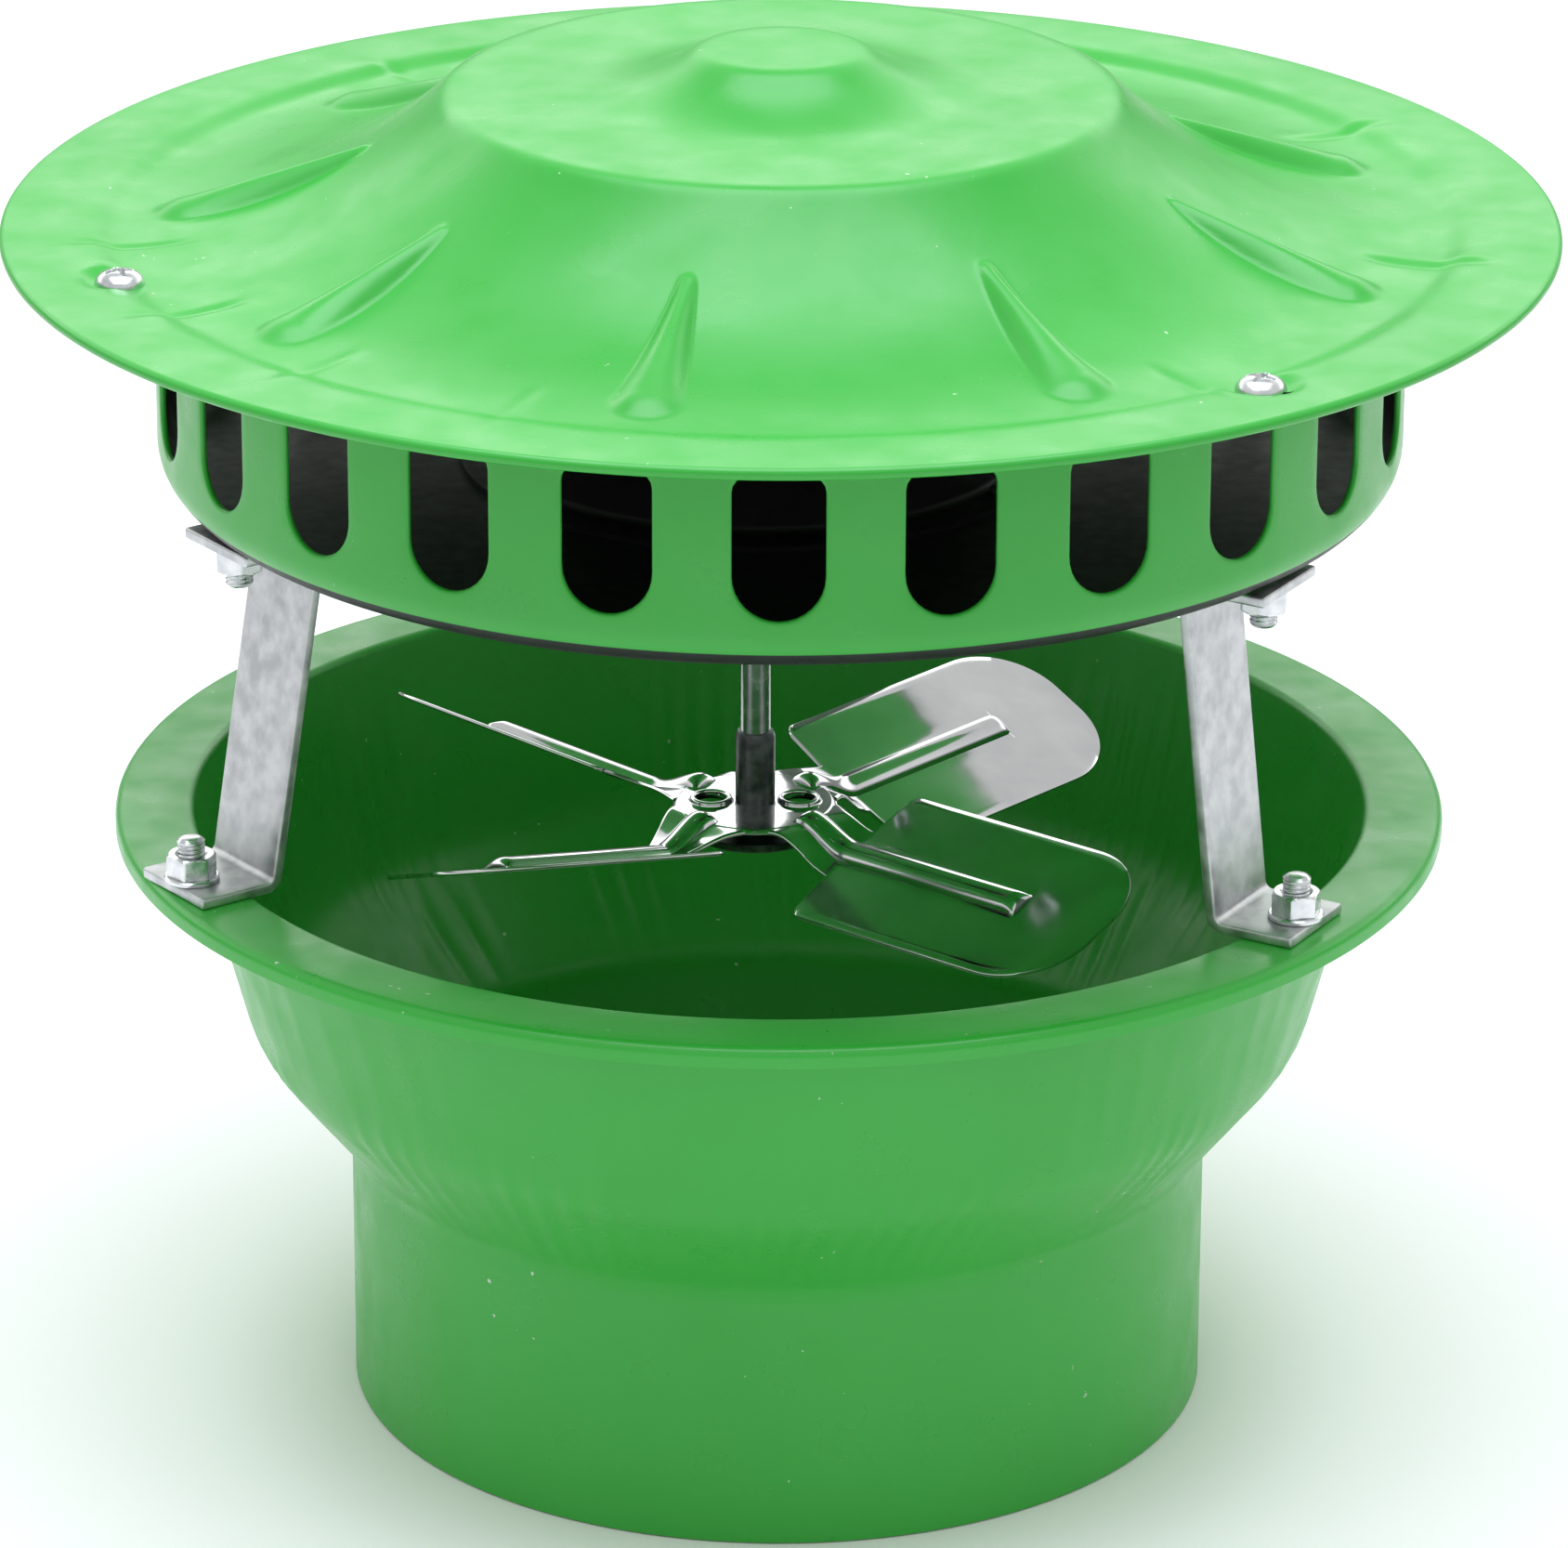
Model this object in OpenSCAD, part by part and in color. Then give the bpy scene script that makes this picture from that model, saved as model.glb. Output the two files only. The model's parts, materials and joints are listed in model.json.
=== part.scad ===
// Chimney draught fan: a spun collar and bowl, three strip legs, a slotted motor pan,
// a pressed hat, and a four-blade stamped impeller hanging in the bowl on the motor shaft.
// Z is up, the collar's axis is Z, and the bottom of the collar stands on z = 0.
// The side that is seen first faces -Y.

/* [Collar and bowl] */
// Outer radius of the collar that goes on the flue
collar_r = 80; // [70:0.5:90]
// Height of the collar's crease, where the bowl starts
collar_h = 50; // [40:1:60]
// Sheet of the collar and bowl
bowl_t = 1.2; // [0.8:0.1:2]
// Outer radius where the bowl's low cone meets its steep wall
knee_r = 98.6; // [96:0.2:101]
// Height of that knee
knee_z = 72.5; // [68:0.5:78]
// Inner radius of the lip
lip_inner_r = 108.3; // [106:0.1:110]
// Outer radius of the lip
lip_outer_r = 122.6; // [120:0.2:130]
// Height of the lip's inner edge
lip_z = 115.4; // [108:0.2:122]
// Radius of the lip's rounded outer edge
lip_round = 1.8; // [1.4:0.1:2.2]
// Depth of the lip's turned-down edge
lip_turn = 3.6; // [3:0.1:6]

/* [Pan with slots] */
// Outer radius of the pan
pan_r = 113.1; // [111:0.1:116]
// Height of the pan's underside
pan_z = 180; // [170:0.5:195]
// Depth of the pan, from its underside to the top of its flange
pan_h = 44; // [40:0.2:52]
// Sheet of the pan
pan_t = 1.2; // [0.8:0.1:2]
// Outer radius of the pan's bottom corner
pan_corner_r = 7; // [4:0.5:7]
// Width of the pan's top flange
flange_w = 16; // [15.5:0.5:20]
// Number of slots around the wall
slot_count = 24; // [18:1:24]
// Width of a slot
slot_w = 16; // [12:0.5:18]
// Height of a slot
slot_h = 26; // [20:0.5:28]
// Height of a slot's lower end above the pan's underside
slot_rise = 9.7; // [9:0.1:12]
// Radius of a slot's upper corners
slot_corner_r = 3; // [1:0.5:5]

/* [Hat] */
// Sheet of the hat
hat_t = 1.0; // [0.8:0.1:1.4]
// Radius of the hat's rim
rim_r = 140.4; // [136:0.2:150]
// Width of the hem folded under the rim
hem_w = 5; // [3:0.5:8]
// Radius of the ring step inside the flat band
step_r = 122; // [120:0.5:126]
// Height of the ring step
step_h = 1.5; // [0.8:0.1:2.2]
// Radius of the plateau's edge
plateau_r = 60.3; // [56:0.2:64]
// Height of the plateau above the dished ring
plateau_h = 25.1; // [22:0.1:32]
// Radius of the knob's flat top
knob_r = 15; // [12:0.5:18]
// Radius where the knob's flank runs out into the plateau
knob_foot_r = 36; // [32:0.5:42]
// Height of the knob above the plateau
knob_h = 7.6; // [5:0.2:10]
// Number of teardrop stiffeners pressed in the hat
rib_count = 9; // [6:1:10]
// Angle of the first stiffener
rib_phase = 18; // [0:1:39]
// Radius of a stiffener's narrow end, on the slope
rib_inner_r = 76; // [72:0.5:80]
// Radius of a stiffener's wide end, by the band
rib_outer_r = 107; // [104:0.5:109]
// Half width of the narrow end
rib_inner_w = 1.8; // [1.4:0.1:3]
// Half width of the wide end
rib_outer_w = 6.3; // [4:0.1:7]
// How far the wide end stands out of the slope
rib_stand = 2.4; // [1.5:0.1:3]

/* [Legs] */
// Width of a leg's strip
leg_w = 20; // [16:0.5:24]
// Thickness of the strip
leg_t = 2; // [1.5:0.1:2.5]
// Length of the foot and of the top flange
leg_foot = 15; // [14:0.5:18]
// Radius inside the strip's bends
leg_bend = 1.5; // [1:0.1:2.5]
// Angle of each leg around the axis
leg_angle = [-155.4, -36.4, 84];
// How far each leg is turned about its foot bolt, because one bolt holds it
leg_turn = [12, 6, 9];
// How far each leg's outer face stands inside the lip's inner edge
leg_in = [2.3, 5.8, 4.3];
// Distance from a leg's outer face to its foot bolt
leg_bolt = 10.9; // [10.9:0.1:11.3]
// Distance from a leg's outer face to its upper bolt
top_bolt = 10; // [9:0.1:10.4]
// Distance from the pan's wall to the upper bolts
pan_bolt_in = 7.7; // [7.4:0.1:9]

/* [Fasteners] */
// Diameter of the leg bolts
bolt_d = 5; // [4:0.5:5]
// Clearance added to the diameter of a bolt's hole
bolt_play = 0.5; // [0.2:0.1:1]
// Width across flats of the leg bolts' nuts and heads
nut_af = 8; // [7:0.1:8]
// Height of the leg bolts' nuts
nut_h = 4; // [3:0.1:5]
// Diameter of the leg bolts' round heads
head_d = 7.6; // [6.6:0.1:7.6]
// Height of those heads
head_h = 3; // [2.5:0.1:4]
// Outer diameter of the foot washers
washer_d = 10; // [9.2:0.1:11]
// Thickness of the foot washers
washer_t = 1; // [0.6:0.1:1.6]
// How far a bolt's end stands out of its nut
bolt_end = 3.2; // [1:0.1:5]
// Diameter of the hat screws
hat_screw_d = 4; // [3:0.5:5]
// Diameter of the hat screws' pan heads
hat_head_d = 9; // [7:0.1:9.4]
// Height of those heads
hat_head_h = 2.6; // [1.8:0.1:3]
// Distance from the pan's wall to each hat screw
hat_screw_out = [9.1, 11.2, 10.3];
// Angle of each hat screw
hat_screw_angle = [-162, -49, 78];

/* [Motor] */
// Distance of the shaft from the cowl's axis, along X
shaft_x = -4.4; // [-5:0.1:0]
// Diameter of the shaft
shaft_d = 5.6; // [5:0.1:6]
// Height of the shaft's lower end
shaft_z = 106.2; // [104:0.1:107]
// Radius of the motor's outer shields and core
motor_r = 36; // [34:0.5:38]
// Height of the laminated core
core_h = 18; // [14:0.5:20]
// Radius of the core's bore
core_bore_r = 17; // [15:0.5:18]
// Air gap between the core and the rotor
air_gap = 0.4; // [0.3:0.05:0.8]
// Depth of the space for coils above and below the core
coil_room = 8; // [7:0.5:9]
// Thickness of the motor's end shields
shield_t = 3; // [2.5:0.1:4]
// Length of the three posts that keep the motor off the hot pan
post_h = 5; // [4:0.5:8]
// Radius of the circle of the posts
post_ring_r = 29; // [27:0.5:30]
// Outer radius of the drum over the motor
drum_r = 47; // [45:0.5:50]
// Height of that drum
drum_h = 52; // [50:0.5:56]
// Sheet of the drum
drum_t = 1; // [0.8:0.1:1.5]
// Radial play of the shaft in its two bearings
bearing_play = 0.04; // [0.02:0.01:0.08]

/* [Impeller] */
// Radius of the blade tips
blade_r = 84.6; // [78:0.2:86]
// Radius of the blades' inner ends
blade_root_r = 24.5; // [22:0.5:27]
// Width of a blade
blade_w = 37; // [32:0.5:38]
// Sheet of the blades
blade_t = 0.8; // [0.6:0.1:1.2]
// Radius of a blade's outer corners
blade_corner_r = 15; // [8:0.5:17]
// Height of the blades' middle line at the root
blade_z = 109; // [107:0.2:111]
// Angle of each blade around the shaft, as the stamping was bent
blade_angle = [45, 138.5, -134.7, -42.8];
// Pitch of each blade
blade_pitch = [23.5, 29, 18.5, 21];
// How far each blade is bent up from level
blade_lift = [2, 2, 12.6, 2];
// Width of the neck between hub and blade
neck_w = 14; // [10:0.5:16]
// Width of the rib pressed along each neck and blade
rib_w = 5.6; // [4:0.2:6]
// Height of that rib
rib_up = 2; // [1:0.1:2.6]
// Distance from the shaft at which that rib ends
rib_end_r = 66; // [60:0.5:70]
// Radius of the stamping's hub disc
hub_r = 15.5; // [14.5:0.5:18]
// How far the hub disc stands above the blades' middle line
hub_rise = 4; // [3:0.1:5]
// Radius of the two windows beside the shaft
window_r = 2.9; // [2:0.1:3]
// Distance of those windows from the shaft
window_out = 8.2; // [8:0.1:8.6]
// Outer diameter of the steel bush on the shaft
bush_d = 7.4; // [7.2:0.1:9]
// Length of the bush above the hub disc
bush_up = 14; // [8:0.5:18]
// Radius of the bush's flange under the hub
bush_flange_r = 12; // [11:0.5:14]
// Thickness of that flange
bush_flange_t = 1.5; // [1:0.1:2.5]

/* [Hidden] */
$fn = 96;
eps = 0.05;
green = [0.31, 0.74, 0.34];
zinc = [0.78, 0.79, 0.80];
steel = [0.62, 0.63, 0.64];
black = [0.10, 0.10, 0.11];
copper = [0.62, 0.34, 0.18];

// Radii of the cowl that follow from the driving ones
flange_r = pan_r + flange_w;
pan_bolt_r = pan_r - pan_bolt_in;
leg_r = [for (d = leg_in) lip_inner_r - d];
// How far each leg leans in on its way up, so that its upper bolt meets the pan's circle of bolts
leg_lean = [for (i = [0:2]) top_bolt + leg_r[i] * cos(leg_turn[i])
    - sqrt(pow(pan_bolt_r, 2) - pow(leg_r[i] * sin(leg_turn[i]), 2))];

// Levels of the cowl, from the lip up
foot_top = lip_z + leg_t;
foot_nut_z = foot_top + washer_t;
leg_top = pan_z - leg_t;
pan_floor = pan_z + pan_t;
flange_z = pan_z + pan_h;
dish_z = flange_z + hat_t;
band_z = dish_z + step_h;
plateau_z = dish_z + plateau_h;
flare_r = rib_outer_r + 11;
hole_d = bolt_d + bolt_play;
bolt_chamfer = 0.8;
hat_hole_d = hat_screw_d + 0.4;
hat_nut_af = 7;
hat_nut_h = 3;
hat_seat_r = hat_head_d / 2 + 0.5;

// Levels and small sizes of the motor, from the pan's floor up
small_d = 3;
small_hole_d = 3.4;
small_head_d = 5.4;
small_head_h = 2;
post_d = 7;
shield_z = pan_floor + post_h;
core_z = shield_z + shield_t + coil_room;
upper_z = core_z + core_h + coil_room;
shaft_top = upper_z + shield_t + 3;
shield_wall = 4.5;
through_ring_r = motor_r - shield_wall / 2;
bearing_d = 11;
bearing_h = 8;
boss_d = 17;
coil_gap = 1;
drum_foot_r = drum_r + 7;
drum_screw_ring_r = drum_r + 4;
grommet_y = pan_r - 31;
grommet_groove_d = 9;
grommet_d = 13;
grommet_bore_d = 5;
collar_d = 10;
collar_t = 1.5;
end_play = 0.3;

// Levels of the impeller
hub_z = blade_z + hub_rise;
bush_boss_d = 11;
curl_w = 1;
curl_h = 1;
hub_edge = 1.5;
rib_start_r = window_out + window_r + curl_w;
root_round = 2;
neck_flare = 2.5;
neck_sink = 0.1;

// Points of an arc around c, from angle a0 to angle a1
function arc(c, r, a0, a1, n) = [for (i = [0:n]) c + r * [cos(a0 + (a1 - a0) * i / n), sin(a0 + (a1 - a0) * i / n)]];
function unit(v) = v / norm(v);
function left_of(v) = [-v[1], v[0]];
function ease(x) = x <= 0 ? 0 : x >= 1 ? 1 : x * x * (3 - 2 * x);

// The corner b of the path a, b, c, rounded with radius r in n steps
function rounded(a, b, c, r, n) =
    let (u = unit(a - b), w = unit(c - b))
    let (half = acos(u * w) / 2, mid = unit(u + w))
    let (o = b + mid * r / sin(half))
    let (p = b + u * r / tan(half) - o, q = b + w * r / tan(half) - o)
    let (a0 = atan2(p[1], p[0]), d = atan2(p[0] * q[1] - p[1] * q[0], p * q))
    arc(o, r, a0, a0 + d, n);

// The path moved sideways by t, to its left
function beside(path, t) = [for (i = [0:len(path) - 1])
    let (before = i > 0 ? unit(path[i] - path[i - 1]) : unit(path[1] - path[0]))
    let (after = i < len(path) - 1 ? unit(path[i + 1] - path[i]) : before)
    let (side = unit(left_of(before) + left_of(after)))
    path[i] + side * t / (side * left_of(before))];
function backwards(path) = [for (i = [len(path) - 1:-1:0]) path[i]];
function sheet(path, t) = concat(path, backwards(beside(path, t)));

// A round sheet-metal part whose one face follows the path of [radius, height] points
module spun(path, t) {
    rotate_extrude()
        polygon(sheet(path, t));
}

module hex_bar(af, h) {
    cylinder(d = af / cos(30), h = h, $fn = 6);
}

// A ring standing on z = 0
module ring(d, bore, h) {
    difference() {
        cylinder(d = d, h = h);
        translate([0, 0, -1])
            cylinder(d = bore, h = h + 2);
    }
}

// A nut with its free side's corners turned off
module nut(af, h, bore) {
    difference() {
        intersection() {
            hex_bar(af, h);
            cylinder(d1 = af + 2 * h, d2 = af + 0.1, h = h);
        }
        translate([0, 0, -1])
            cylinder(d = bore, h = h + 2);
    }
}

// A shank that stands on z = 0 and ends in a chamfer
module shank(d, h) {
    cylinder(d = d, h = h - bolt_chamfer);
    translate([0, 0, h - bolt_chamfer])
        cylinder(d1 = d, d2 = d - 2 * bolt_chamfer, h = bolt_chamfer);
}

// A low round head that stands on z = 0
module pan_head(d, h) {
    cylinder(d = d, h = h * 0.45);
    translate([0, 0, h * 0.45])
        cylinder(d1 = d, d2 = d * 0.82, h = h * 0.3);
    translate([0, 0, h * 0.75])
        cylinder(d1 = d * 0.82, d2 = d * 0.5, h = h * 0.25);
}

// The inner face of the collar, bowl and lip, from the bottom up
inner_r = collar_r - bowl_t;
crease = [inner_r, collar_h];
knee = [knee_r - bowl_t * 1.1, knee_z + bowl_t * 0.5];
lip_in = [lip_inner_r, lip_z];
lip_out = [lip_outer_r, lip_z];
lip_end = [lip_outer_r, lip_z - lip_turn];
bowl_path = concat(
    [[inner_r, 0]],
    rounded([inner_r, 0], crease, knee, 9, 4),
    rounded(crease, knee, lip_in, 20, 5),
    rounded(knee, lip_in, lip_out, 1.6, 4),
    rounded(lip_in, lip_out, lip_end, lip_round, 5),
    [lip_end]);

module base_bowl() {
    color(green) difference() {
        spun(bowl_path, -bowl_t);
        for (i = [0:2])
            at_foot_bolt(i)
                translate([0, 0, lip_z - bowl_t - 1])
                    cylinder(d = hole_d, h = bowl_t + 2);
    }
}

// Puts its children at a leg's outer face, at the foot, facing out
module at_leg(i) {
    rotate(leg_angle[i])
        translate([leg_r[i], 0, 0])
            rotate(leg_turn[i])
                children();
}

module at_foot_bolt(i) {
    at_leg(i)
        translate([leg_bolt, 0, 0])
            children();
}

// The upper bolt stands in the top flange, which the lean carries inwards
module at_pan_bolt(i) {
    at_leg(i)
        translate([top_bolt - leg_lean[i], 0, 0])
            children();
}

// The outer face of a leg seen from the side, from the foot's tip to the top flange's tip
function leg_path(i) =
    let (tip = [leg_foot, foot_top], low = [0, foot_top])
    let (high = [-leg_lean[i], leg_top], top_tip = [leg_foot - leg_lean[i], leg_top])
    concat([tip], rounded(tip, low, high, leg_bend, 4), rounded(low, high, top_tip, leg_bend, 4), [top_tip]);

module leg(i) {
    color(zinc) difference() {
        at_leg(i)
            rotate([90, 0, 0])
                translate([0, 0, -leg_w / 2])
                    linear_extrude(leg_w)
                        polygon(sheet(leg_path(i), leg_t));
        at_foot_bolt(i)
            translate([0, 0, lip_z - 1])
                cylinder(d = hole_d, h = leg_t + 2);
        at_pan_bolt(i)
            translate([0, 0, leg_top - 1])
                cylinder(d = hole_d, h = leg_t + 2);
    }
}

module leg_left() { leg(0); }
module leg_right() { leg(1); }
module leg_rear() { leg(2); }

// The feet's bolts point up, with their round heads under the lip
module foot_bolts() {
    head_z = lip_z - bowl_t;
    color(zinc) for (i = [0:2])
        at_foot_bolt(i)
            translate([0, 0, head_z]) {
                mirror([0, 0, 1])
                    pan_head(head_d, head_h);
                shank(bolt_d, foot_nut_z + nut_h + bolt_end - head_z);
            }
}

module foot_washers() {
    color(zinc) for (i = [0:2])
        at_foot_bolt(i)
            translate([0, 0, foot_top])
                ring(washer_d, hole_d, washer_t);
}

module foot_nuts() {
    color(zinc) for (i = [0:2])
        at_foot_bolt(i)
            translate([0, 0, foot_nut_z])
                nut(nut_af, nut_h, bolt_d);
}

// One slot's outline, standing on its round lower end
module slot_outline() {
    translate([0, slot_w / 2])
        circle(d = slot_w);
    translate([-slot_w / 2, slot_w / 2])
        square([slot_w, slot_h - slot_w / 2 - slot_corner_r]);
    translate([slot_corner_r - slot_w / 2, slot_w / 2])
        square([slot_w - 2 * slot_corner_r, slot_h - slot_w / 2]);
    for (side = [-1, 1])
        translate([side * (slot_w / 2 - slot_corner_r), slot_h - slot_corner_r])
            circle(r = slot_corner_r, $fn = 32);
}

// The outer face of the pan, from the shaft's hole to the flange
pan_hole_r = shaft_d / 2 + 3 - shaft_x;
pan_edge = [pan_r, pan_z];
pan_bend = [pan_r, flange_z - pan_t];
pan_tip = [flange_r, flange_z - pan_t];
pan_path = concat(
    [[pan_hole_r, pan_z]],
    rounded([0, pan_z], pan_edge, pan_bend, pan_corner_r, 6),
    rounded(pan_edge, pan_bend, pan_tip, 1.5, 3),
    [pan_tip]);

module cage_pan() {
    color(green) difference() {
        spun(pan_path, pan_t);
        for (k = [0:slot_count - 1])
            rotate(360 / slot_count * k - 90)
                translate([pan_r + 2, 0, pan_z + slot_rise])
                    rotate([90, 0, -90])
                        linear_extrude(7)
                            slot_outline();
        for (i = [0:2])
            at_pan_bolt(i)
                translate([0, 0, pan_z - 1])
                    cylinder(d = hole_d, h = pan_t + 2);
        at_hat_screws()
            translate([0, 0, flange_z - pan_t - 1])
                cylinder(d = hat_hole_d, h = pan_t + 2);
        at_posts()
            translate([0, 0, pan_z - 1])
                cylinder(d = small_hole_d, h = pan_t + 2);
        at_drum_screws()
            translate([0, 0, pan_z - 1])
                cylinder(d = small_d, h = pan_t + 2);
        translate([0, grommet_y, pan_z - 1])
            cylinder(d = grommet_groove_d, h = pan_t + 2);
    }
}

// The space inside the pan
module in_pan() {
    rotate_extrude()
        polygon(concat([[0, pan_floor]], beside(pan_path, pan_t), [[0, flange_z]]));
}

// The pan's bolts point down, and their heads bed into the pan's rounded corner
module pan_bolts() {
    color(zinc) for (i = [0:2]) {
        intersection() {
            at_pan_bolt(i)
                translate([0, 0, pan_floor])
                    pan_head(head_d, head_h);
            in_pan();
        }
        at_pan_bolt(i)
            translate([0, 0, pan_floor + eps])
                mirror([0, 0, 1])
                    shank(bolt_d, pan_floor + eps - leg_top + nut_h + bolt_end);
    }
}

module pan_nuts() {
    color(zinc) for (i = [0:2])
        at_pan_bolt(i)
            translate([0, 0, leg_top])
                mirror([0, 0, 1])
                    nut(nut_af, nut_h, bolt_d);
}

// A concave flank from [r0, z1 + drop] out and down to a level end at [r1, z1]
function flank_bend(r0, r1, drop) = (r1 - r0) / sin(2 * atan(drop / (r1 - r0)));
function flank(r0, r1, drop, z1, n) =
    let (bend = flank_bend(r0, r1, drop), steep = 2 * atan(drop / (r1 - r0)))
    arc([r1, z1 + bend], bend, 270 - steep, 270, n);

// The hat's upper face, from the knob out to the hem under the rim
hem_r = hat_t * 1.1;
hat_path = concat(
    [[0, plateau_z + knob_h]],
    flank(knob_r, knob_foot_r, knob_h, plateau_z, 5),
    flank(plateau_r, flare_r, plateau_h, dish_z, 11),
    [[step_r - 1.6, dish_z], [step_r + 0.4, band_z]],
    arc([rim_r - hem_r, band_z - hem_r], hem_r, 90, -90, 6),
    [[rim_r - hem_w, band_z - 2 * hem_r]]);

function flare_z(r) =
    let (bend = flank_bend(plateau_r, flare_r, plateau_h))
    dish_z + bend - sqrt(bend * bend - (flare_r - r) * (flare_r - r));

// Radius of a ball that stands up by h out of a disc of radius w
function cap_r(w, h) = (w * w + h * h) / (2 * h);

// A stiffener's body, a long drop with round ends that lies in the slope
module drop_body(grow) {
    r0 = cap_r(rib_inner_w, 1);
    r1 = cap_r(rib_outer_w, rib_stand);
    inner = [rib_inner_r, flare_z(rib_inner_r) + 1 - r0];
    outer = [rib_outer_r, flare_z(rib_outer_r) + rib_stand - r1];
    along = outer - inner;
    gap = norm(along);
    taper = asin((r1 - r0) / gap);
    translate([inner[0], 0, inner[1]])
        rotate([0, atan2(along[0], along[1]), 0]) {
            sphere(r = r0 + grow, $fn = 40);
            translate([0, 0, -(r0 + grow) * sin(taper)])
                cylinder(
                    r1 = (r0 + grow) * cos(taper),
                    r2 = (r1 + grow) * cos(taper),
                    h = gap - (r1 - r0) * sin(taper),
                    $fn = 40);
            translate([0, 0, gap])
                sphere(r = r1 + grow, $fn = 40);
        }
}

// The space over the middle of the hat's sheet, where the stiffeners show
module over_hat() {
    top = plateau_z + knob_h + 10;
    slope = flank(plateau_r, flare_r, plateau_h, dish_z, 11);
    rotate_extrude()
        polygon(concat(beside(slope, -hat_t / 2), [[flare_r + 5, dish_z - hat_t / 2]], [[flare_r + 5, top], [plateau_r, top]]));
}

module at_stiffeners() {
    for (k = [0:rib_count - 1])
        rotate(rib_phase + 360 / rib_count * k)
            children();
}

module at_hat_screws() {
    for (i = [0:2])
        rotate(hat_screw_angle[i])
            translate([pan_r + hat_screw_out[i], 0, 0])
                children();
}

// The sheet is pressed down around each screw, so that it rests on the pan's flange there
module hat() {
    color(green) difference() {
        union() {
            spun(hat_path, -hat_t);
            intersection() {
                at_stiffeners()
                    drop_body(0);
                over_hat();
            }
            at_hat_screws()
                translate([0, 0, flange_z])
                    cylinder(r1 = hat_seat_r + 0.6, r2 = hat_seat_r + 0.6 + step_h, h = step_h + 0.4);
        }
        at_stiffeners()
            drop_body(-hat_t);
        at_hat_screws() {
            translate([0, 0, dish_z])
                cylinder(r1 = hat_seat_r, r2 = hat_seat_r + step_h + 0.6, h = step_h + 0.6);
            translate([0, 0, flange_z - 1])
                cylinder(d = hat_hole_d, h = 4);
        }
    }
}

module hat_screws() {
    recess_w = hat_head_d * 0.13;
    color(zinc) difference() {
        at_hat_screws()
            translate([0, 0, dish_z]) {
                pan_head(hat_head_d, hat_head_h);
                mirror([0, 0, 1])
                    shank(hat_screw_d, hat_t + pan_t + hat_nut_h + 1.5);
            }
        at_hat_screws()
            for (a = [20, 110])
                rotate(a)
                    translate([-hat_head_d * 0.27, -recess_w / 2, dish_z + hat_head_h * 0.45])
                        cube([hat_head_d * 0.54, recess_w, hat_head_h]);
    }
}

module hat_nuts() {
    color(zinc) at_hat_screws()
        translate([0, 0, flange_z - pan_t])
            mirror([0, 0, 1])
                nut(hat_nut_af, hat_nut_h, hat_screw_d);
}

// Puts its children on the shaft's axis
module at_shaft() {
    translate([shaft_x, 0, 0])
        children();
}

module around_shaft(count, r, first) {
    for (k = [0:count - 1])
        translate([shaft_x, 0, 0])
            rotate(first + 360 / count * k)
                translate([r, 0, 0])
                    children();
}

module at_posts() {
    around_shaft(3, post_ring_r, 30)
        children();
}

module at_drum_screws() {
    around_shaft(3, drum_screw_ring_r, 90)
        children();
}

module at_through_screws() {
    around_shaft(4, through_ring_r, 45)
        children();
}

module motor_posts() {
    color(zinc) at_posts()
        translate([0, 0, pan_floor])
            ring(post_d, small_hole_d, post_h);
}

// These screws hang the motor from below, through the pan and the posts
module post_screws() {
    color(zinc) at_posts()
        translate([0, 0, pan_z]) {
            mirror([0, 0, 1])
                pan_head(small_head_d, small_head_h);
            shank(small_d, pan_t + post_h + shield_t);
        }
}

// An end shield seen from inside: a disc, a wall up to the core and a boss for the bearing
module shield() {
    difference() {
        union() {
            cylinder(r = motor_r, h = shield_t);
            ring(2 * motor_r, 2 * (motor_r - shield_wall), shield_t + coil_room);
            cylinder(d = boss_d, h = bearing_h);
        }
        translate([0, 0, -1])
            cylinder(d = bearing_d, h = bearing_h + 2);
        for (k = [0:3])
            rotate(45 + 90 * k)
                translate([through_ring_r, 0, -1])
                    cylinder(d = small_d, h = shield_t + coil_room + 2);
        for (k = [0:2])
            rotate(30 + 120 * k)
                translate([post_ring_r, 0, -1])
                    cylinder(d = small_d, h = shield_t + 2);
    }
}

module lower_shield() {
    color(steel) at_shaft()
        translate([0, 0, shield_z])
            shield();
}

module upper_shield() {
    color(steel) at_shaft()
        translate([0, 0, upper_z + shield_t])
            mirror([0, 0, 1])
                shield();
}

module bearing() {
    ring(bearing_d, shaft_d + 2 * bearing_play, bearing_h);
}

module lower_bearing() {
    color(copper) at_shaft()
        translate([0, 0, shield_z])
            bearing();
}

module upper_bearing() {
    color(copper) at_shaft()
        translate([0, 0, upper_z + shield_t - bearing_h])
            bearing();
}

module stator_core() {
    color(steel) difference() {
        at_shaft()
            translate([0, 0, core_z])
                ring(2 * motor_r, 2 * core_bore_r, core_h);
        at_through_screws()
            translate([0, 0, core_z - 1])
                cylinder(d = small_d, h = core_h + 2);
    }
}

// The windings' two ends, above and below the core
module stator_coils() {
    coil_h = coil_room - coil_gap;
    outer = motor_r - shield_wall - coil_gap;
    inner = core_bore_r + 2;
    color(copper) at_shaft()
        for (z = [core_z - coil_h, core_z + core_h])
            translate([0, 0, z])
                ring(2 * outer, 2 * inner, coil_h);
}

module through_screws() {
    color(zinc) at_through_screws()
        translate([0, 0, upper_z + shield_t]) {
            pan_head(small_head_d, small_head_h);
            mirror([0, 0, 1])
                shank(small_d, upper_z - shield_z + shield_t);
        }
}

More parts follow.
